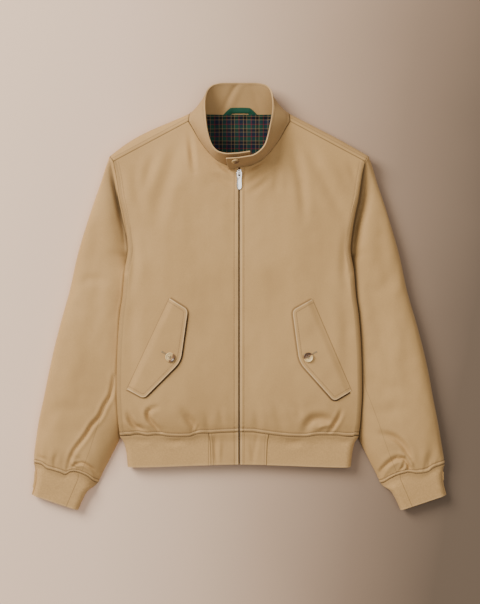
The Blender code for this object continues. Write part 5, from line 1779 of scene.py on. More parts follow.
@dataclass
class Band:
    """The bottom band: knitted rib round the body, and a twill tab at each end by the zip."""

    tabs: Mapping[Side, float] = field(default_factory=lambda: {Side.LEFT: 52.6, Side.RIGHT: 54.2})
    pitch: float = 2.5
    deep: float = 0.06
    gap: float = 0.35
    pieces: dict[str, Cloth] = field(default_factory=dict)

    def hem(self, left: Front, right: Front) -> tuple[Array, Array]:
        """The hem from the left front's zip edge, round the back, to the right's, and each point's kind."""
        across, curls = np.linspace(0, 1, 120), np.linspace(0, CURLS, 49)[1:]
        halves = []
        for front in (left, right):
            edge = front.grid(np.array([0.0]), across, curls, detailed=False)[0][0]
            x = np.linspace(edge[-1, 0] - 0.9 * front.side.value, 0, 60)
            halves.append(
                np.concatenate(
                    [edge, np.column_stack([x, np.linspace(edge[-1, 1], BACK_HEM_Y, 60), np.zeros(60)])]
                )
            )
        kinds = np.concatenate([np.zeros(len(across)), curls, np.full(60, CURLS + 1.0)])
        return np.concatenate([halves[0], halves[1][-2::-1]]), np.concatenate([kinds, kinds[-2::-1]])

    def grid(self, hem: Array, kinds: Array) -> tuple[Array, Array]:
        """The outer face, by rows from the seam to the free edge, and each row's share of the way."""
        x, y, z = hem[:, 0], hem[:, 1], hem[:, 2]
        sign = np.where(np.abs(x) < 0.01, 0, np.sign(x))
        shares = np.concatenate([[0, 0.02, 0.05, 0.09], np.linspace(0.13, 0.93, 18), [0.96, 0.98, 1.0]])
        rows = []
        for share in shares:
            wide, thick, own = (float(BAND_ROWS.read(c, share)) for c in ("wide", "thick", "own"))
            half = wide - thick / 2
            angle = pi * kinds / 9
            target_x = np.where(
                kinds == 0, np.minimum(np.abs(x), 217) / 217 * half,
                np.where(kinds > CURLS, np.abs(x) / 205 * half, half + thick / 2 * np.sin(angle)),
            )
            target_z = np.where(
                kinds == 0, thick, np.where(kinds > CURLS, 0, thick / 2 * (1 + np.cos(angle)))
            )
            bottom = mix(-321.6, -327.0, ease(np.abs(x) / HALF_HEM))
            seam_y = y - mix(self.gap, 1.1, ease((np.abs(x) - 195) / 20))
            rows.append(np.column_stack([
                mix(x, sign * target_x, own), mix(seam_y, bottom, share),
                mix(z - 0.3 * (z > 10), target_z, own)
            ]))
        return np.array(rows), shares

    def make(self, left: Front, right: Front, finishes: "Kit") -> None:
        """Build the rib and the two tabs and tie them to their nodes."""
        hem, kinds = self.hem(left, right)
        grid, shares = self.grid(hem, kinds)
        lengths = lengths_along(grid[10])
        total = lengths[-1]
        first, last = self.tabs[Side.LEFT], total - self.tabs[Side.RIGHT]
        self.tab_piece(Side.LEFT, grid, lengths, np.linspace(0, first, 36), shares, finishes)
        self.tab_piece(Side.RIGHT, grid, lengths, np.linspace(last, total, 36), shares, finishes)
        ribs = int(round((last - first) / self.pitch))
        at = np.linspace(first + 0.4, last - 0.4, ribs * 4 + 1)
        points = np.array([read_line(row, lengths, at) for row in grid])
        normal = face_normals(points)
        normal = normal * np.sign(normal[10, 40, 2])
        phase = np.arange(ribs * 4 + 1) / 4 * 2 * pi
        down = (shares * BAND_DEEP)[:, None]
        push = self.deep * np.cos(phase)[None, :] * ease(down / 3)
        here = at[None, :] + 0 * down
        push += rumple(here, down, 34, 3.3) * 0.6 * ease(down / 8)
        for crease in BAND_CREASES:
            push += crease.height(points[..., 0], points[..., 1]) * (points[..., 2] > 14) * ease(down / 4)
        points = points + normal * push[..., None]
        points[..., 2] = np.maximum(points[..., 2], 0)
        uv = np.stack([here, -down + 0 * here], axis=-1)
        side_seam = np.where(points[..., 2] > 10, points[..., 0] + 58.8, FAR)
        fields = {
            "top": down + 0 * here, "seam": side_seam,
            # Painted highlight and wear along the band's free edge, and painted shade just below its seam
            # with the body.
            "worn": 0.45 * bell(down - BAND_DEEP, 2.5) - 0.22 * bell(down - 3, 5) + 0 * here,
        }
        knit = Cloth(
            "band_knit", points, RIB_WALL, finishes.knit, uv=uv, rim=0.7, rim_steps=3, fields=fields
        ).make()
        knit.join("band_rib", "rib", (0.81, 0.061), 0.049)
        self.pieces["rib"] = knit

    def tab_piece(
        self, side: Side, grid: Array, lengths: Array, at: Array, shares: Array, finishes: "Kit"
    ) -> None:
        """One twill tab, with a fold at its free edge and stitched seams at its side and top."""
        points = np.array([read_line(row, lengths, at) for row in grid])
        down = (shares * BAND_DEEP)[:, None]
        from_zip = (at if side is Side.LEFT else at[-1] - at)[None, :] * np.ones_like(down)
        to_side = self.tabs[side] - from_zip
        lift = 0.35 * bell(down - 4, 3) - 0.4 * bell(from_zip - 8, 0.9) + 0.3 * bell(to_side - 2.4, 1.6)
        lift += rumple(from_zip, down, 21, 11.0 + side.value) * 0.5 * ease(down / 6)
        lift += creased(TAB_CREASES, points[..., 0], points[..., 1]) * ease(down / 5)
        points[..., 2] += lift
        zip_edge = from_zip - 0.2
        fields = {
            "zip": zip_edge, "side": to_side + 0 * down, "top": down + 0 * from_zip,
            # Painted highlight and wear along the tab's folded lower edge.
            "worn": 0.4 * bell(down - BAND_DEEP, 2.0) + 0 * from_zip,
        }
        tab = Cloth(f"tab_{side.word}_twill", points, CLOTH, finishes.tab, rim=0.6, fields=fields).make()
        tab.join(f"band_tab_{side.word}", "twill", (0.052, 0.061), 0.00317)
        self.pieces[side.word] = tab


# ---------------------------------------------------------------- collar, lining and loop


COLLAR_LONG = 480
# Each fold's share of the collar's length, width, depth and slant, the height it slants over, and how far
# from the base and from the top it fades.
COLLAR_FOLDS = (
    (0.335, 5, -0.7, 10, 40, 12, 6), (0.30, 6, 1.2, 6, 40, 12, 6), (0.655, 6, -1.4, -8, 40, 12, 6),
    (0.70, 7, 1.2, -6, 40, 12, 6), (0.455, 4.5, 1.9, 26, 60, 10, 9), (0.475, 6, -1.2, 26, 60, 10, 9),
    (0.56, 5, 0.9, -14, 60, 10, 9),
)


@dataclass
class Collar:
    """The stand collar, whose wearer's left end laps over the right and buttons."""

    underlap: float = 20.5
    overlap: float = 24.7
    lap_step: float = 3.9
    cloth: Optional[Cloth] = None

    def neck_edge(self, front: Front) -> tuple[Array, int]:
        """The neck's points from the right front's zip edge, round the back, to the left front's."""
        rows = spread(range(NECK_ROW, LAST_ROW + 1), [6] * (LAST_ROW - NECK_ROW))
        down = front.grid(rows, np.array([0.0, 1.0]), np.array([float(CURLS)]), detailed=False)[0][:, 0]
        ends = (NECK_POINT_FRONT, NECK_POINT_EDGE, NECK_POINT_BACK)
        turn = np.array([turned(*ends, a) for a in np.radians(np.linspace(172, 0, 24))])
        flat = np.column_stack(
            [np.linspace(NECK_POINT_BACK[0], 0, 26)[1:], np.full(25, NECK_BACK_Y), np.zeros(25)]
        )
        half = np.concatenate([down, turn, flat])
        return np.concatenate([half * (-1, 1, 1), half[-2::-1]]), len(half)

    def columns(self, front: Front) -> tuple[Array, Array]:
        """The bases and tops of the collar's columns, from its underlap to its overlap."""
        edge, count = self.neck_edge(front)
        shares = shares_along(edge[:count])
        shares = np.concatenate([shares, shares[-2::-1]])
        on_right = (np.arange(len(edge)) < count)[:, None]
        tops = [np.stack([COLLAR_TOP[side].read(axis, shares) for axis in "xyz"], axis=1) for side in Side]
        tops = {side: top * (side.value, 1, 1) for side, top in zip(Side, tops)}
        top = np.where(on_right, tops[Side.RIGHT], tops[Side.LEFT])
        run = top - edge
        gap = mix(0.35, 0.9, ease((shares - 0.42) / 0.15))[:, None]
        base = edge + unit(run) * gap
        along = shares_along(mix(base, top, 0.5))
        even = np.linspace(0, 1, 131)
        base, top = (read_line(line, along, even) for line in (base, top))
        middle = mix(base[0], base[-1], 0.5)
        under = [self.lap(base[-1], top[0], base[-3], x) for x in np.linspace(self.underlap, 3.0, 9)]
        over = [self.lap(base[0], top[-1], base[2], x) for x in np.linspace(-3.0, -self.overlap, 11)]
        bases = [p[0] for p in under] + [middle] + list(base[1:-1]) + [middle] + [p[0] for p in over]
        tops = [p[1] for p in under] + [top[0]] + list(top[1:-1]) + [top[-1]] + [p[1] for p in over]
        return np.array(bases), np.array(tops)

    def lap(self, base: Array, top: Array, next_base: Array, x: float) -> tuple[Array, Array]:
        """A column of a lap: its base in line with two others, its top level with the middle's."""
        low = mix(base, next_base, (x - base[0]) / (next_base[0] - base[0]))
        down = float(ease(-x / self.overlap))
        foot = low + np.array([5.2 * down, -5.5 * down, 0])
        return foot, np.array([x, top[1] + 0.07 * max(x, 0), top[2]])

    def make(self, left: Front, finishes: "Kit") -> None:
        """Build the collar and tie it to its node."""
        base, top = self.columns(left)
        count = len(base)
        ups = np.concatenate(
            [[0, 0.015, 0.04], np.linspace(0.08, 0.86, 21), [0.89, 0.915, 0.94, 0.965, 0.985, 1]]
        )
        run = top - base
        face = (
            np.column_stack([0 * run[:, 0], -run[:, 2], run[:, 1]])
            / np.hypot(run[:, 1], run[:, 2])[:, None]
        )
        near = base[:, 1] < 300
        first = np.arange(count) < count / 2
        lapped = self.overlap + self.underlap
        inward = np.where(near & first, np.clip((base[:, 0] + self.overlap) / lapped, 0, 1), 0)
        outward = np.where(near & ~first, np.clip((self.underlap - base[:, 0]) / lapped, 0, 1), 0)
        length = np.linalg.norm(run, axis=1)
        rows = []
        for up in ups:
            point = mix(base, top, up) + face * ((outward - inward) * self.lap_step)[:, None]
            away = point - np.column_stack([0 * length, 0 * length + 330, point[:, 2]])
            away = away / np.maximum(np.linalg.norm(away, axis=1, keepdims=True), 1)
            rows.append(point + away * 2.2 * sin(pi * up))
        points = np.array(rows)
        normal = face_normals(points)
        probe = normal[10, count // 4 * 3] @ np.array([1, -0.3, 0.3])
        normal = normal * (1 if probe > 0 else -1)
        along = (shares_along(points[len(ups) // 2]) * COLLAR_LONG)[None, :]
        high = ups[:, None] * length[None, :]
        from_top = (1 - ups)[:, None] * length[None, :]
        push = -0.35 * bell(from_top - 5.2, 0.8) + 0.35 * bell(from_top - 2.6, 2.4)
        push += 0.5 * rumple(along + 0 * high, high, 34, 2.2) * ease(high / 8) * ease(from_top / 10)
        push += 0.8 * bell(high - 2.5, 3.0) - 0.5 * bell(high - 7, 2.5)
        for at, wide, deep, slant, tall, rise, fall in COLLAR_FOLDS:
            fold = bell(along - at * COLLAR_LONG - slant * (high / tall - 0.5), wide)
            push += deep * fold * ease(high / rise) * ease(from_top / fall)
        points = points + normal * push[..., None]
        column = lengths_along(mix(base, top, 0.4))
        to_end = (column[-1] - column)[None, :] + 0 * high
        fields = {
            "base": np.where(to_end < 27, FAR, high), "top": from_top,
            "lap": np.minimum(to_end, np.where(to_end < 26, high, FAR)), "worn": 0 * to_end,
        }
        self.cloth = Cloth(
            "collar_twill", points, COLLAR_WALL, finishes.collar, up=(0, -1, 0.5), fields=fields, rim=1.15,
            rim_steps=4
        ).make()
        self.cloth.join("collar", "twill", (0.50, 0.085), 0.033)
        self.line = points


@dataclass
class Lining:
    """The back's plaid lining, where it shows through the neck."""

    level: float = 3.0
    cloth: Optional[Cloth] = None

    def make(self, collar: Collar, finishes: "Kit") -> None:
        """Build the lining, up over the collar's lower edge, and tie it to its node."""
        edge = Table(
            "y half", (188, 110), (250, 110), (310, 106), (325, 97), (337.6, 84), (343, 76), (348.8, 71)
        )
        y = np.concatenate([np.linspace(348.8, 338, 12), np.linspace(337, 188, 56)])[:, None]
        x = np.linspace(-1, 1, 84)[None, :] * edge.read("half", y)
        from_seam = 348.8 - y
        inside = collar.cloth.height(x, y, 0.0) * ease((y - 320) / 14)
        z = np.maximum(self.level + 0.6, np.minimum(inside, 14) + 2.2)
        for _ in range(3):
            z[1:-1] = (z[:-2] + z[1:-1] + z[2:]) / 3
            z[:, 1:-1] = (z[:, :-2] + z[:, 1:-1] + z[:, 2:]) / 3
        z += rumple(x, y * 0.6, 30, 8.0) * 0.9 * ease((from_seam - 10) / 12)
        z += 0.35 * np.sin(x * 2 * pi / 21 + 3 * rumple(x, y * 0, 40, 2)) * bell(from_seam - 14, 12)
        points = np.stack([x, y + 0 * x, np.maximum(z, 2.6)], axis=-1)
        self.cloth = Cloth("lining_plaid", points, LINING_WALL, finishes.plaid, rim=0.3).make()
        self.cloth.join("lining_back", "plaid", (0.225, 0.15), 0.0325, ["back"])


@dataclass
class HangerLoop:
    """A hanger loop of herringbone tape, mitred at its corners, inside the collar at the back seam."""

    line: tuple[tuple[float, float], ...] = (
        (-29.6, 342.6), (-26.4, 345.6), (-20.2, 351.8), (-15.0, 356.2), (-5.0, 356.6), (2.0, 356.7),
        (9.0, 356.6), (18.6, 356.2), (24.0, 351.8), (30.2, 345.6), (33.4, 342.6),
    )
    wide: float = 10.6

    def make(self, collar: Collar, finishes: "Kit") -> None:
        """Build the loop over what it lies on and tie it to its node."""
        line = np.array(self.line)
        steps = spread(range(len(line)), [4, 4, 3, 5, 5, 5, 5, 3, 4, 4])
        path = read_line(line, range(len(line)), steps)
        out = leftward(path)
        across = np.linspace(0.5, -0.5, 9)
        plan = path[:, None] + out[:, None] * (across * self.wide)[None, :, None]
        x, y = plan[..., 0], plan[..., 1]
        under = collar.cloth.height(x, np.maximum(y, 342.0))
        share = shares_along(path)[:, None]
        free = ease((y - 349) / 5)
        z = (
            under + 0.2 + TAPE_WALL
            + free * (1.5 * np.sin(pi * share) + 0.25 * np.cos(across * pi)[None, :])
        )
        for at in (0.275, 0.725):
            z += 0.5 * bell((share - at) * 95, 2.0)
        points = np.stack([x, y, z], axis=-1)
        uv = np.stack([np.broadcast_to(across * self.wide, x.shape), share * 92 + 0 * x], axis=-1)
        self.cloth = Cloth("hanger_loop_tape", points, TAPE_WALL, finishes.tape, uv=uv, rim=0.25).make()
        self.cloth.join("hanger_loop", "ribbon", (0.01, 0.092), 0.00092, ["collar_twill"])


# ---------------------------------------------------------------- pocket flaps and buttons


@dataclass
class Button:
    """A turned button with a raised rim, a dished middle, four holes and its thread."""

    name: str
    wide: float
    centre: tuple[float, float]
    node: str
    towards: tuple[float, float] = (90.0, -70.0)

    def make(self, over: Cloth, finishes: "Kit", threads: Stitching) -> None:
        """Turn the button, bore its holes, sew it to the cloth below it and tie it to its node."""
        low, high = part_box(self.node)
        middle = (low + high) / 2
        reach = 3.0
        x, y = self.centre
        across = [
            over.height(np.array([x + reach, x - reach]), np.array([y, y])),
            over.height(np.array([x, x]), np.array([y + reach, y - reach])),
        ]
        normal = Vector((across[0][1] - across[0][0], across[1][1] - across[1][0], 2 * reach)).normalized()
        level = float(max(np.mean(across[0]), np.mean(across[1]))) + 0.5
        at = (middle.x / MM, middle.y / MM) if self.node == "collar_button" else self.centre
        seat = Vector((*at, level))
        radius = self.wide / 2
        profile = (
            (0.0, 0.05), (0.72, 0.05), (0.88, 0.10), (0.975, 0.20), (1.0, 0.27), (0.985, 0.345),
            (0.93, 0.395), (0.86, 0.395), (0.79, 0.35), (0.71, 0.285), (0.6, 0.25), (0.3, 0.232),
            (0.0, 0.23),
        )
        shape = bmesh.new()
        verts = [shape.verts.new((r * radius * MM, 0, h * radius * MM)) for r, h in profile]
        edges = [shape.edges.new(pair) for pair in zip(verts, verts[1:])]
        bmesh.ops.spin(
            shape, geom=verts + edges, angle=2 * pi, steps=56, axis=(0, 0, 1), cent=(0, 0, 0),
            use_merge=True
        )
        bmesh.ops.remove_doubles(shape, verts=shape.verts, dist=0.000005)
        bmesh.ops.recalc_face_normals(shape, faces=shape.faces)
        horn = Horn(
            name=f"{self.name}_horn", centre=(seat.x * MM, seat.y * MM), towards=self.towards
        ).build()
        button = put_in_scene(self.name, shape, horn)
        drills = bmesh.new()
        holes = [Vector((cos(a), sin(a), 0)) * radius * 0.25 * MM for a in np.radians([45, 135, 225, 315])]
        bore_radius = radius * 0.095 * MM
        for hole in holes:
            bmesh.ops.create_cone(
                drills, cap_ends=True, segments=16, radius1=bore_radius, radius2=bore_radius, depth=0.02,
                matrix=Matrix.Translation(hole),
            )
        self.bore(button, put_in_scene(f"{self.name}_drill", drills, finishes.thread))
        turn = Matrix.LocRotScale(seat * MM, normal.to_track_quat("Z", "Y"), None)
        button.data.transform(turn)
        for first, second in ((0, 2), (1, 3)):
            for shift in (-0.28, 0.28):
                lift = Vector((shift * MM, shift * MM * (1 if first else -1), radius * 0.262 * MM))
                a, b = (turn @ (holes[k] + lift) for k in (first, second))
                threads.stitch((a + b) / 2, b - a, normal, long=(b - a).length / MM, thick=0.75)
        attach(button, BODY)
        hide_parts(self.node)
        LOG.info("%s at %.1f, %.1f, %.1f", self.name, *seat)

    def bore(self, button: bpy.types.Object, drill: bpy.types.Object) -> None:
        """Cut the drill's shape out of the button, and delete the drill."""
        cut = button.modifiers.new("bore", "BOOLEAN")
        cut.operation = "DIFFERENCE"
        cut.solver = "EXACT"
        cut.object = drill
        graph = bpy.context.evaluated_depsgraph_get()
        graph.update()
        bored = bpy.data.meshes.new_from_object(button.evaluated_get(graph))
        button.modifiers.clear()
        button.data = bored
        bpy.data.objects.remove(drill, do_unlink=True)


@dataclass
class Flap:
    """A slanted, pointed pocket flap, topstitched and buttoned."""

    side: Side
    top: tuple[float, float] = (139.0, -5.2)
    bottom: tuple[float, float] = (213.8, -178.8)
    free: tuple[tuple[float, float], ...] = ((100.6, -26.6), (113.8, -124.6), (179.8, -198.6))
    button_at: tuple[float, float] = (130.6, -115.4)
    stitch_in: float = 6.6
    cloth: Optional[Cloth] = None

    def rounded(self, before: Array, corner: Array, after: Array, cut: float, steps: int) -> Array:
        """Points round a corner whose two straight edges are cut back."""
        start = corner + unit(before - corner) * cut
        end = corner + unit(after - corner) * cut
        t = np.linspace(0, 1, steps)[:, None]
        return mix(mix(start, corner, t), mix(corner, end, t), t)

    def free_line(self, count: int = 150) -> Array:
        """Its free edge in plan, from its top round its point to its bottom, as evenly spaced points."""
        corners = [np.array(p) for p in (self.top, *self.free, self.bottom)]
        parts = [corners[0][None]]
        for k, cut in ((1, 8.0), (2, 15.0), (3, 8.0)):
            parts.append(self.rounded(corners[k - 1], corners[k], corners[k + 1], cut, 12))
        line = np.concatenate([*parts, corners[-1][None]])
        even = np.linspace(0, 1, count)
        return read_line(line, shares_along(line), even)

    def sewn(self, share: Array) -> Array:
        """Points on the sewn edge, at shares of the way from its top to its bottom."""
        return mix(np.array(self.top), np.array(self.bottom), np.asarray(share)[..., None])

    def make(self, front: Front, finishes: "Kit", threads: Stitching) -> None:
        """Build the flap over its front and tie it to its node."""
        line = self.free_line()
        even = np.linspace(0, 1, len(line))
        insets = np.array([0, 0.4, 0.9, 1.6, 2.6, 3.8, 5.2, 6.2, 6.9, 7.8, 9.5])
        wide = np.linalg.norm(self.sewn(even) - line, axis=1)
        in_share = insets[:, None] / 75 * np.ones_like(even)
        in_share = np.concatenate([in_share, mix(in_share[-1], 1.0, np.linspace(0, 1, 19)[1:, None])])
        plan = mix(line[None], self.sewn(even)[None], in_share[..., None])
        x, y = plan[..., 0], plan[..., 1]
        depth = np.where(in_share * wide < 0.01, 0, beside(line, x, y)[0])
        sewn = beside(self.sewn(np.array([0.0, 1.0])), x, y)[0]
        here = self.side.value * x
        base = front.cloth.height(here, y, 48.0)
        smooth = base.copy()
        for _ in range(8):
            smooth[1:-1] = (smooth[:-2] + smooth[1:-1] + smooth[2:]) / 3
            smooth[:, 1:-1] = (smooth[:, :-2] + smooth[:, 1:-1] + smooth[:, 2:]) / 3
        base = np.maximum(base, mix(base, smooth, 0.8))
        free = ease(sewn / 14)
        z = base + 0.35 + 3.6 * free - 0.25 * bell(depth - self.stitch_in, 0.9) * free
        z += rumple(here, y, 30, 14.0 + self.side.value) * 0.55 * ease(depth / 9) * free
        z -= 0.9 * bell(np.hypot(x - self.button_at[0], y - self.button_at[1]), 13) * ease(depth / 3)
        uv = np.stack([x * 0.93 - y * 0.37, y * 0.93 + x * 0.37], axis=-1)
        # Painted highlight and wear along the flap's free edge.
        fields = {
            "free": np.where(sewn < 0.5, FAR, depth), "sewn": sewn, "worn": 0.3 * bell(depth, 1.8) * free
        }
        self.cloth = Cloth(
            f"flap_{self.side.word}_twill", np.stack([here, y, z], axis=-1), 1.2, finishes.flap, uv=uv,
            fields=fields,
            rim=0.45, rim_steps=2,
        ).make()
        self.cloth.join(
            f"flap_{self.side.word}", "twill", (0.085, 0.215), 0.0137, [f"front_{self.side.word}_twill"]
        )
        inner = line + (self.sewn(even) - line) / np.maximum(wide, 1)[:, None] * self.stitch_in
        for _ in range(3):
            away = beside(line, inner[:, 0], inner[:, 1])[0]
            inner = inner + leftward(line) * (self.stitch_in - away)[:, None] * 0.8
        keep = beside(self.sewn(np.array([0.0, 1.0])), inner[:, 0], inner[:, 1])[0] > 3
        threads.line(self.cloth, inner[keep] * (self.side.value, 1))


RIGHT_FLAP = Flap(
    Side.RIGHT, top=(133.2, -3.0), bottom=(214.2, -175.6),
    free=((97.2, -25.4), (111.2, -124.0), (180.6, -193.6)),
)


# ---------------------------------------------------------------- zip


@dataclass
class Zip:
    """The front zip: tapes, interlocked teeth, slider and pull."""

    bottom: float = -318.0
    top: float = 232.0
    pitch: float = 1.06
    teeth_wide: float = 2.3

    def level(self, front: Front, band: Band, y: Array) -> Array:
        """The height of the fronts' upper face beside the zip."""
        body = front.cloth.height(np.full_like(y, front.side.value * 3.0), y)
        tab = band.pieces[front.side.word].height(np.full_like(y, front.side.value * 3.0), y)
        level = np.maximum(body, tab)
        level[level <= 0] = level[level > 0].min()
        return level

    def make(self, left: Front, right: Front, band: Band, finishes: "Kit") -> None:
        """Build the zip's pieces and tie them to their nodes and bodies."""
        y = np.linspace(self.bottom, self.top, 160)
        for front in (left, right):
            top = self.level(front, band, y) - 2.6
            top = np.convolve(np.pad(top, 4, mode="edge"), np.ones(9) / 9, mode="valid")
            across = np.linspace(0.3, 13.5, 9)
            x = np.broadcast_to(front.side.value * across, (len(y), len(across)))
            z = top[:, None] - 0.35 * ease((across - 1.5) / 4)[None, :]
            points = np.stack([x, np.broadcast_to(y[:, None], x.shape), z], axis=-1)
            tape = Cloth(
                f"zip_tape_{front.side.word}_twill", points, TAPE_WALL, finishes.facing, rim=0.2
            ).make()
            tape.join(f"zip_tape_{front.side.word}", "twill", (0.0135, 0.55), 0.0074)
        self.teeth(left, band, finishes)
        self.slider(finishes)
        self.pull(finishes)

    def teeth(self, front: Front, band: Band, finishes: "Kit") -> None:
        """Build the teeth as one piece of small bevelled blocks, those of the two sides by turns."""
        shape = bmesh.new()
        y = np.arange(self.bottom + 2, self.top - 3, self.pitch)
        z = self.level(front, band, y) - 4.0
        z = np.convolve(np.pad(z, 8, mode="edge"), np.ones(17) / 17, mode="valid")
        for k, (at, high) in enumerate(zip(y, z)):
            side = 1 if k % 2 else -1
            turn = Matrix.Translation((side * 0.55 * MM, at * MM, high * MM))
            turn = turn @ Matrix.Diagonal((self.teeth_wide * MM, self.pitch * 0.8 * MM, 1.7 * MM, 1))
            bmesh.ops.create_cube(shape, size=1, matrix=turn)
        edges = [
            e for e in shape.edges
            if abs(e.verts[0].co.z - e.verts[1].co.z) < 1e-6
            and e.verts[0].co.z > e.link_faces[0].calc_center_median().z - 1e-9
        ]
        bmesh.ops.bevel(
            shape, geom=edges, offset=0.22 * MM, affect="EDGES", segments=1, profile=0.5, material=-1
        )
        teeth = put_in_scene("zip_teeth", shape, finishes.teeth, smooth=False)
        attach(teeth, BODY)

    def slider(self, finishes: "Kit") -> None:
        """Build the slider's plate and the crown that the pull hangs from."""
        low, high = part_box("zip_slider")
        middle = (low + high) / 2
        top = high.z
        shape = bmesh.new()
        size = (high.x - low.x, high.y - low.y, 0.0017)
        place = Matrix.Translation((middle.x, middle.y, top - 0.0050)) @ Matrix.Diagonal((*size, 1))
        made = bmesh.ops.create_cube(shape, size=1, matrix=place)["verts"]
        for vert in made:
            if vert.co.y < middle.y:
                vert.co.x = middle.x + (vert.co.x - middle.x) * 0.72
        bmesh.ops.bevel(
            shape, geom=shape.edges[:], offset=0.0006, affect="EDGES", segments=3, profile=0.5, material=-1
        )
        ring = bmesh.ops.create_circle(
            shape, segments=10, radius=1,
            matrix=Matrix.Translation(
                (middle.x, middle.y - 0.0032, top - 0.0044)
            ) @ Matrix.Diagonal((0.00115, 0.0007, 0, 1)),
        )["verts"]
        geom = ring + list({e for v in ring for e in v.link_edges})
        bmesh.ops.spin(
            shape, geom=geom, angle=-pi, steps=16, axis=(1, 0, 0),
            cent=(middle.x, middle.y + 0.0001, top - 0.0044)
        )
        for vert in shape.verts:
            if vert.co.z > top - 0.0043:
                vert.co.z = min(top - 0.0043 + (vert.co.z - top + 0.0043) * 1.08, top)
        bmesh.ops.recalc_face_normals(shape, faces=shape.faces)
        slider = put_in_scene("slider_metal", shape, finishes.bright)
        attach(slider, BODY)
        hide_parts("zip_slider")

    def pull(self, finishes: "Kit") -> None:
        """Build the pull: a waisted tab with a slot at its hinge and a stepped, tapered end."""
        joint = frame["joints"][0]
        pivot = Vector(joint["pos_m"])
        half = Table(
            "y x", (0.9, 3.0), (0.0, 4.4), (-1.8, 5.1), (-7.6, 5.0), (-11.0, 4.5), (-16.0, 4.4),
            (-22.0, 4.7), (-27.4, 4.9), (-28.0, 4.65), (-31.4, 4.0), (-33.2, 2.9), (-33.7, 1.6),
        )
        down = (
            0.9, 0.3, -0.6, -1.8, -4.5, -7.6, -11, -13.5, -16, -19, -22, -24.7, -27.3, -28.1, -30, -31.4,
            -32.6, -33.3, -33.7,
        )
        right = [(float(half.read("x", y)), y) for y in down]
        outline = right + [(-x, y) for x, y in right[::-1]]
        turn = np.linspace(0, pi, 9)
        slot = (
            [(1.95 * cos(a), -1.75 + 0.9 * sin(a)) for a in turn]
            + [(-1.95 * cos(a), -7.0 - 1.6 * sin(a)) for a in turn]
        )
        shape = bmesh.new()
        edges = []
        for loop in (outline, slot):
            verts = [shape.verts.new((x * MM, y * MM, -0.8 * MM)) for x, y in loop]
            edges += [shape.edges.new(pair) for pair in zip(verts, verts[1:] + verts[:1])]
        bmesh.ops.triangle_fill(shape, use_beauty=True, use_dissolve=False, edges=edges)
        bmesh.ops.dissolve_limit(shape, angle_limit=0.01, verts=shape.verts[:], edges=shape.edges[:])
        raised = bmesh.ops.extrude_face_region(shape, geom=shape.faces[:])["geom"]
        bmesh.ops.translate(
            shape, vec=(0, 0, 1.6 * MM), verts=[g for g in raised if isinstance(g, bmesh.types.BMVert)]
        )
        bmesh.ops.recalc_face_normals(shape, faces=shape.faces)
        flat = [
            e for e in shape.edges
            if len(e.link_faces) == 2 and e.calc_face_angle(0) > radians(60)
            and abs(e.verts[0].co.z - e.verts[1].co.z) < 1e-7
        ]
        bmesh.ops.bevel(
            shape, geom=flat, offset=0.38 * MM, affect="EDGES", segments=3, profile=0.5, material=-1,
            clamp_overlap=True,
        )
        bmesh.ops.transform(
            shape, matrix=Matrix.Translation(pivot) @ Matrix.Rotation(radians(1.6), 4, "X"),
            verts=shape.verts,
        )
        pull = put_in_scene("pull_metal", shape, finishes.bright, smooth=False)
        pull.data.shade_smooth()
        pull.data.set_sharp_from_angle(angle=radians(40))
        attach(pull, "pull")
        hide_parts("zip_pull")
        LOG.info("pull: %d faces", len(pull.data.polygons))


# ---------------------------------------------------------------- sewing


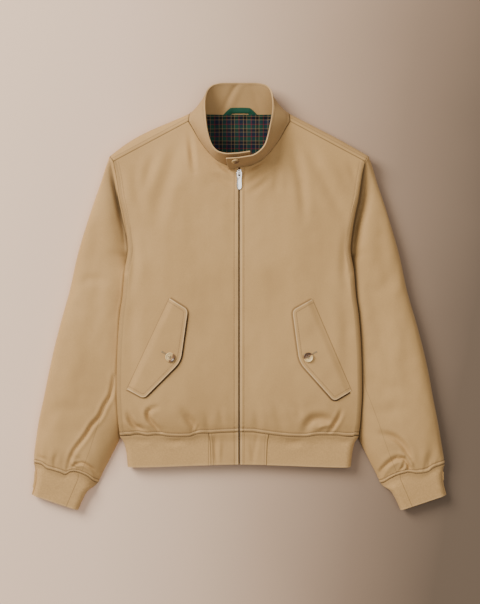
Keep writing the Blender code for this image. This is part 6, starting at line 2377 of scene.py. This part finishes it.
@dataclass
class Sewing:
    """The rows of stitches along the jacket's seams, its bar-tacks and its buttonholes."""

    thread: Stitching
    holes: Stitching

    def front_rows(self, front: Front) -> None:
        """Stitch the zip edge, the hem and the armhole of a front."""
        side = front.side.value
        y = np.linspace(-254, 243.5, 200)
        zip_x = side * (ZIP_GAP / 2 + front.zip_line)
        self.thread.line(front.cloth, np.column_stack([np.full_like(y, zip_x), y]))
        x = np.linspace(9, 226, 120)
        hem = (LEFT_HEM if front.side is Side.LEFT else RIGHT_HEM).read("y", x)
        for at in front.hem_lines:
            self.thread.line(front.cloth, np.column_stack([side * x, hem + at + 0.4]))
        edge_y = np.linspace(250, 62, 90)
        edge, out = edge_frame(edge_y)
        for at in front.armhole_lines:
            line = (edge - out * at) * (side, 1)
            self.thread.line(front.cloth, line)

    def shoulder(self, back: Back, side: Side) -> None:
        """Stitch the back beside its seam with a front."""
        start, end = np.array(NECK_POINT_FRONT), np.array(SHOULDER_FRONT)
        away = np.array([-SHOULDER_RUN[1], SHOULDER_RUN[0]])
        run = np.linspace(0.02, 0.98, 40)[:, None]
        line = mix(start, end, run) + away * 6.2
        self.thread.line(back.cloth, line * (side.value, 1))

    def cuff_rows(self, sleeve: Sleeve) -> None:
        """Stitch a sleeve above its cuff."""
        last = sleeve.last
        top = last[sleeve.upper][3:-3]
        up = np.array([-0.273, 0.962])
        for at in sleeve.cuff_lines:
            self.thread.line(sleeve.cloth, (top[:, :2] + up * at) * (sleeve.side.value, 1))

    def tab_rows(self, tab: Cloth, side: Side, wide: float) -> None:
        """Stitch a band tab round its edges."""
        down = np.linspace(-263.5, -315, 30)
        for x in (ZIP_GAP / 2 + 8.0, wide - 5.0):
            self.thread.line(tab, np.column_stack([np.full_like(down, side.value * x), down]))
        across = np.linspace(3, wide - 2, 20)
        self.thread.line(tab, np.column_stack([side.value * across, np.full_like(across, -313.6)]))

    def collar_row(self, collar: Collar) -> None:
        """Stitch the collar below its top edge: inner side at the back, outer side at the front."""
        points = collar.line
        from_top = 5.2
        row_top, row_below = points[-1], points[-10]
        line = row_top + unit(row_below - row_top) * from_top
        steps = lengths_along(line)
        for at in np.arange(4, steps[-1] - 4, self.thread.long + self.thread.gap):
            ahead = Vector(read_line(line, steps, at + 1) - read_line(line, steps, at - 1))
            hit, normal, _, _ = collar.cloth.tree.find_nearest(Vector(read_line(line, steps, at)) * MM)
            if hit is None:
                continue
            self.thread.stitch(hit, ahead, normal)
            inner = collar.cloth.tree.ray_cast(hit - normal * 0.0005, -normal, 0.006)[0]
            if inner is not None:
                self.thread.stitch(inner, ahead, -normal)

    def buttonhole(self, cloth: Cloth, start: tuple[float, float], end: tuple[float, float]) -> None:
        """A buttonhole: two close rows of stitches across it, with a bar-tack at its end."""
        a, b = np.array(start), np.array(end)
        run = unit(b - a)
        side = np.array([-run[1], run[0]])
        for row in (-0.85, 0.85):
            for at in np.arange(0, np.linalg.norm(b - a), 0.62):
                x, y = a + run * at + side * row
                hit = cloth.drop(float(x), float(y))
                if hit:
                    self.holes.stitch(hit[0], Vector((*side, 0)), hit[1], long=1.5, thick=0.62)
        for at in np.arange(-1.4, 1.5, 0.6):
            x, y = b + side * at
            hit = cloth.drop(float(x), float(y))
            if hit:
                self.holes.stitch(hit[0], Vector((*run, 0)), hit[1], long=2.0, thick=0.8)


# ---------------------------------------------------------------- studio


@dataclass(frozen=True)
class Lamp:
    """A square soft light."""

    name: str
    place: tuple[float, float, float]
    size: float
    power: float
    colour: Colour


@dataclass
class Studio:
    """The camera over the jacket, the surface that it lies on, and the light from the upper left."""

    centre: tuple[float, float] = (0.0015, -0.0108)
    distance: float = 3.04
    view_height: float = 1.1476
    level: float = 0.04
    lamps: tuple[Lamp, ...] = (
        Lamp("key", (-2.9, 2.1, 2.8), 2.4, 272, (1.0, 0.94, 0.86)),
        Lamp("top", (0.7, 0.0, 2.9), 2.4, 31, (1.0, 0.94, 0.87)),
    )
    room_colour: Colour = (1.0, 0.92, 0.84)
    room_strength: float = 0.32
    sensor: float = 24.0

    def camera(self) -> None:
        """Place the camera straight above."""
        data = bpy.data.cameras.new("camera")
        camera = bpy.data.objects.new("camera", data)
        bpy.context.scene.collection.objects.link(camera)
        camera.location = (*self.centre, self.distance)
        data.sensor_fit = "VERTICAL"
        data.sensor_height = self.sensor
        data.lens = self.sensor * (self.distance - self.level) / self.view_height
        data.clip_end = 50
        bpy.context.scene.camera = camera

    def ground(self, finishes: "Kit") -> None:
        """Lay the surface."""
        shape = bmesh.new()
        bmesh.ops.create_grid(shape, x_segments=8, y_segments=8, size=4)
        bmesh.ops.translate(shape, vec=(0, 0, -0.0004), verts=shape.verts)
        put_in_scene("ground", shape, finishes.ground)

    def light(self, lamp: Lamp) -> None:
        """Add a soft light that faces the jacket."""
        data = bpy.data.lights.new(lamp.name, "AREA")
        data.size, data.energy, data.color = lamp.size, lamp.power, lamp.colour
        made = bpy.data.objects.new(lamp.name, data)
        bpy.context.scene.collection.objects.link(made)
        made.location = lamp.place
        made.rotation_euler = (-Vector(lamp.place)).to_track_quat("-Z", "Y").to_euler()

    def make(self, finishes: "Kit") -> None:
        """Set everything up."""
        self.camera()
        self.ground(finishes)
        for lamp in self.lamps:
            self.light(lamp)
        world = bpy.data.worlds.new("room")
        bpy.context.scene.world = world
        world.use_nodes = True
        background = world.node_tree.nodes["Background"]
        background.inputs["Color"].default_value = (*self.room_colour, 1)
        background.inputs["Strength"].default_value = self.room_strength


def main() -> None:
    """Build the jacket in order and set up the studio."""
    logging.basicConfig(level=logging.INFO, format="%(message)s")
    for name in ("Cube", "Light", "Camera"):
        if name in bpy.data.objects:
            bpy.data.objects.remove(bpy.data.objects[name], do_unlink=True)
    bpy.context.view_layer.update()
    finishes = Kit()
    Studio().make(finishes)
    flaps = {Side.LEFT: Flap(Side.LEFT), Side.RIGHT: RIGHT_FLAP}
    left = Front(Side.LEFT, LEFT_FRONT_CREASES, 1.3, flap=flaps[Side.LEFT])
    right = Front(Side.RIGHT, RIGHT_FRONT_CREASES, 6.1, flap=flaps[Side.RIGHT])
    for front in (left, right):
        front.make(finishes)
    back = Back()
    back.make(left, right, finishes)
    sleeves = [Sleeve(Side.LEFT, LEFT_SLEEVE_CREASES, 2.7), Sleeve(Side.RIGHT, RIGHT_SLEEVE_CREASES, 9.4)]
    for sleeve, front in zip(sleeves, (left, right)):
        sleeve.make(front, finishes)
        Cuff(sleeve.side).make(sleeve, finishes)
    band = Band()
    band.make(left, right, finishes)
    collar = Collar()
    collar.make(left, finishes)
    Lining().make(collar, finishes)
    HangerLoop().make(collar, finishes)
    thread = Stitching("seam_stitches", finishes.thread)
    holes = Stitching("buttonhole_stitches", finishes.hole_thread, long=1.5, gap=0.1, thick=0.6)
    sewing = Sewing(thread, holes)
    for front in (left, right):
        flap = flaps[front.side]
        flap.make(front, finishes, thread)
        x, y = flap.button_at
        word, sign = front.side.word, front.side.value
        sewing.buttonhole(flap.cloth, (sign * (x + 7.5), y + 5.8), (sign * (x + 15.6), y + 10.4))
        towards = (95.0, -75.0) if front.side is Side.RIGHT else (-60.0, 105.0)
        button = Button(f"flap_button_{word}_turned", 18.5, (sign * x, y), f"flap_button_{word}", towards)
        button.make(flap.cloth, finishes, holes)
        sewing.front_rows(front)
        sewing.shoulder(back, front.side)
        sewing.tab_rows(band.pieces[word], front.side, band.tabs[front.side])
    for sleeve in sleeves:
        sewing.cuff_rows(sleeve)
    sewing.collar_row(collar)
    sewing.buttonhole(collar.cloth, (-7.0, 259.5), (-7.0, 263.0))
    Button(
        "collar_button_turned", 14.5, (-7.2, 255.3), "collar_button", (45.0, -60.0)
    ).make(collar.cloth, finishes, holes)
    thread.finish()
    holes.finish()
    Zip().make(left, right, band, finishes)


if __name__ == "__main__":
    main()
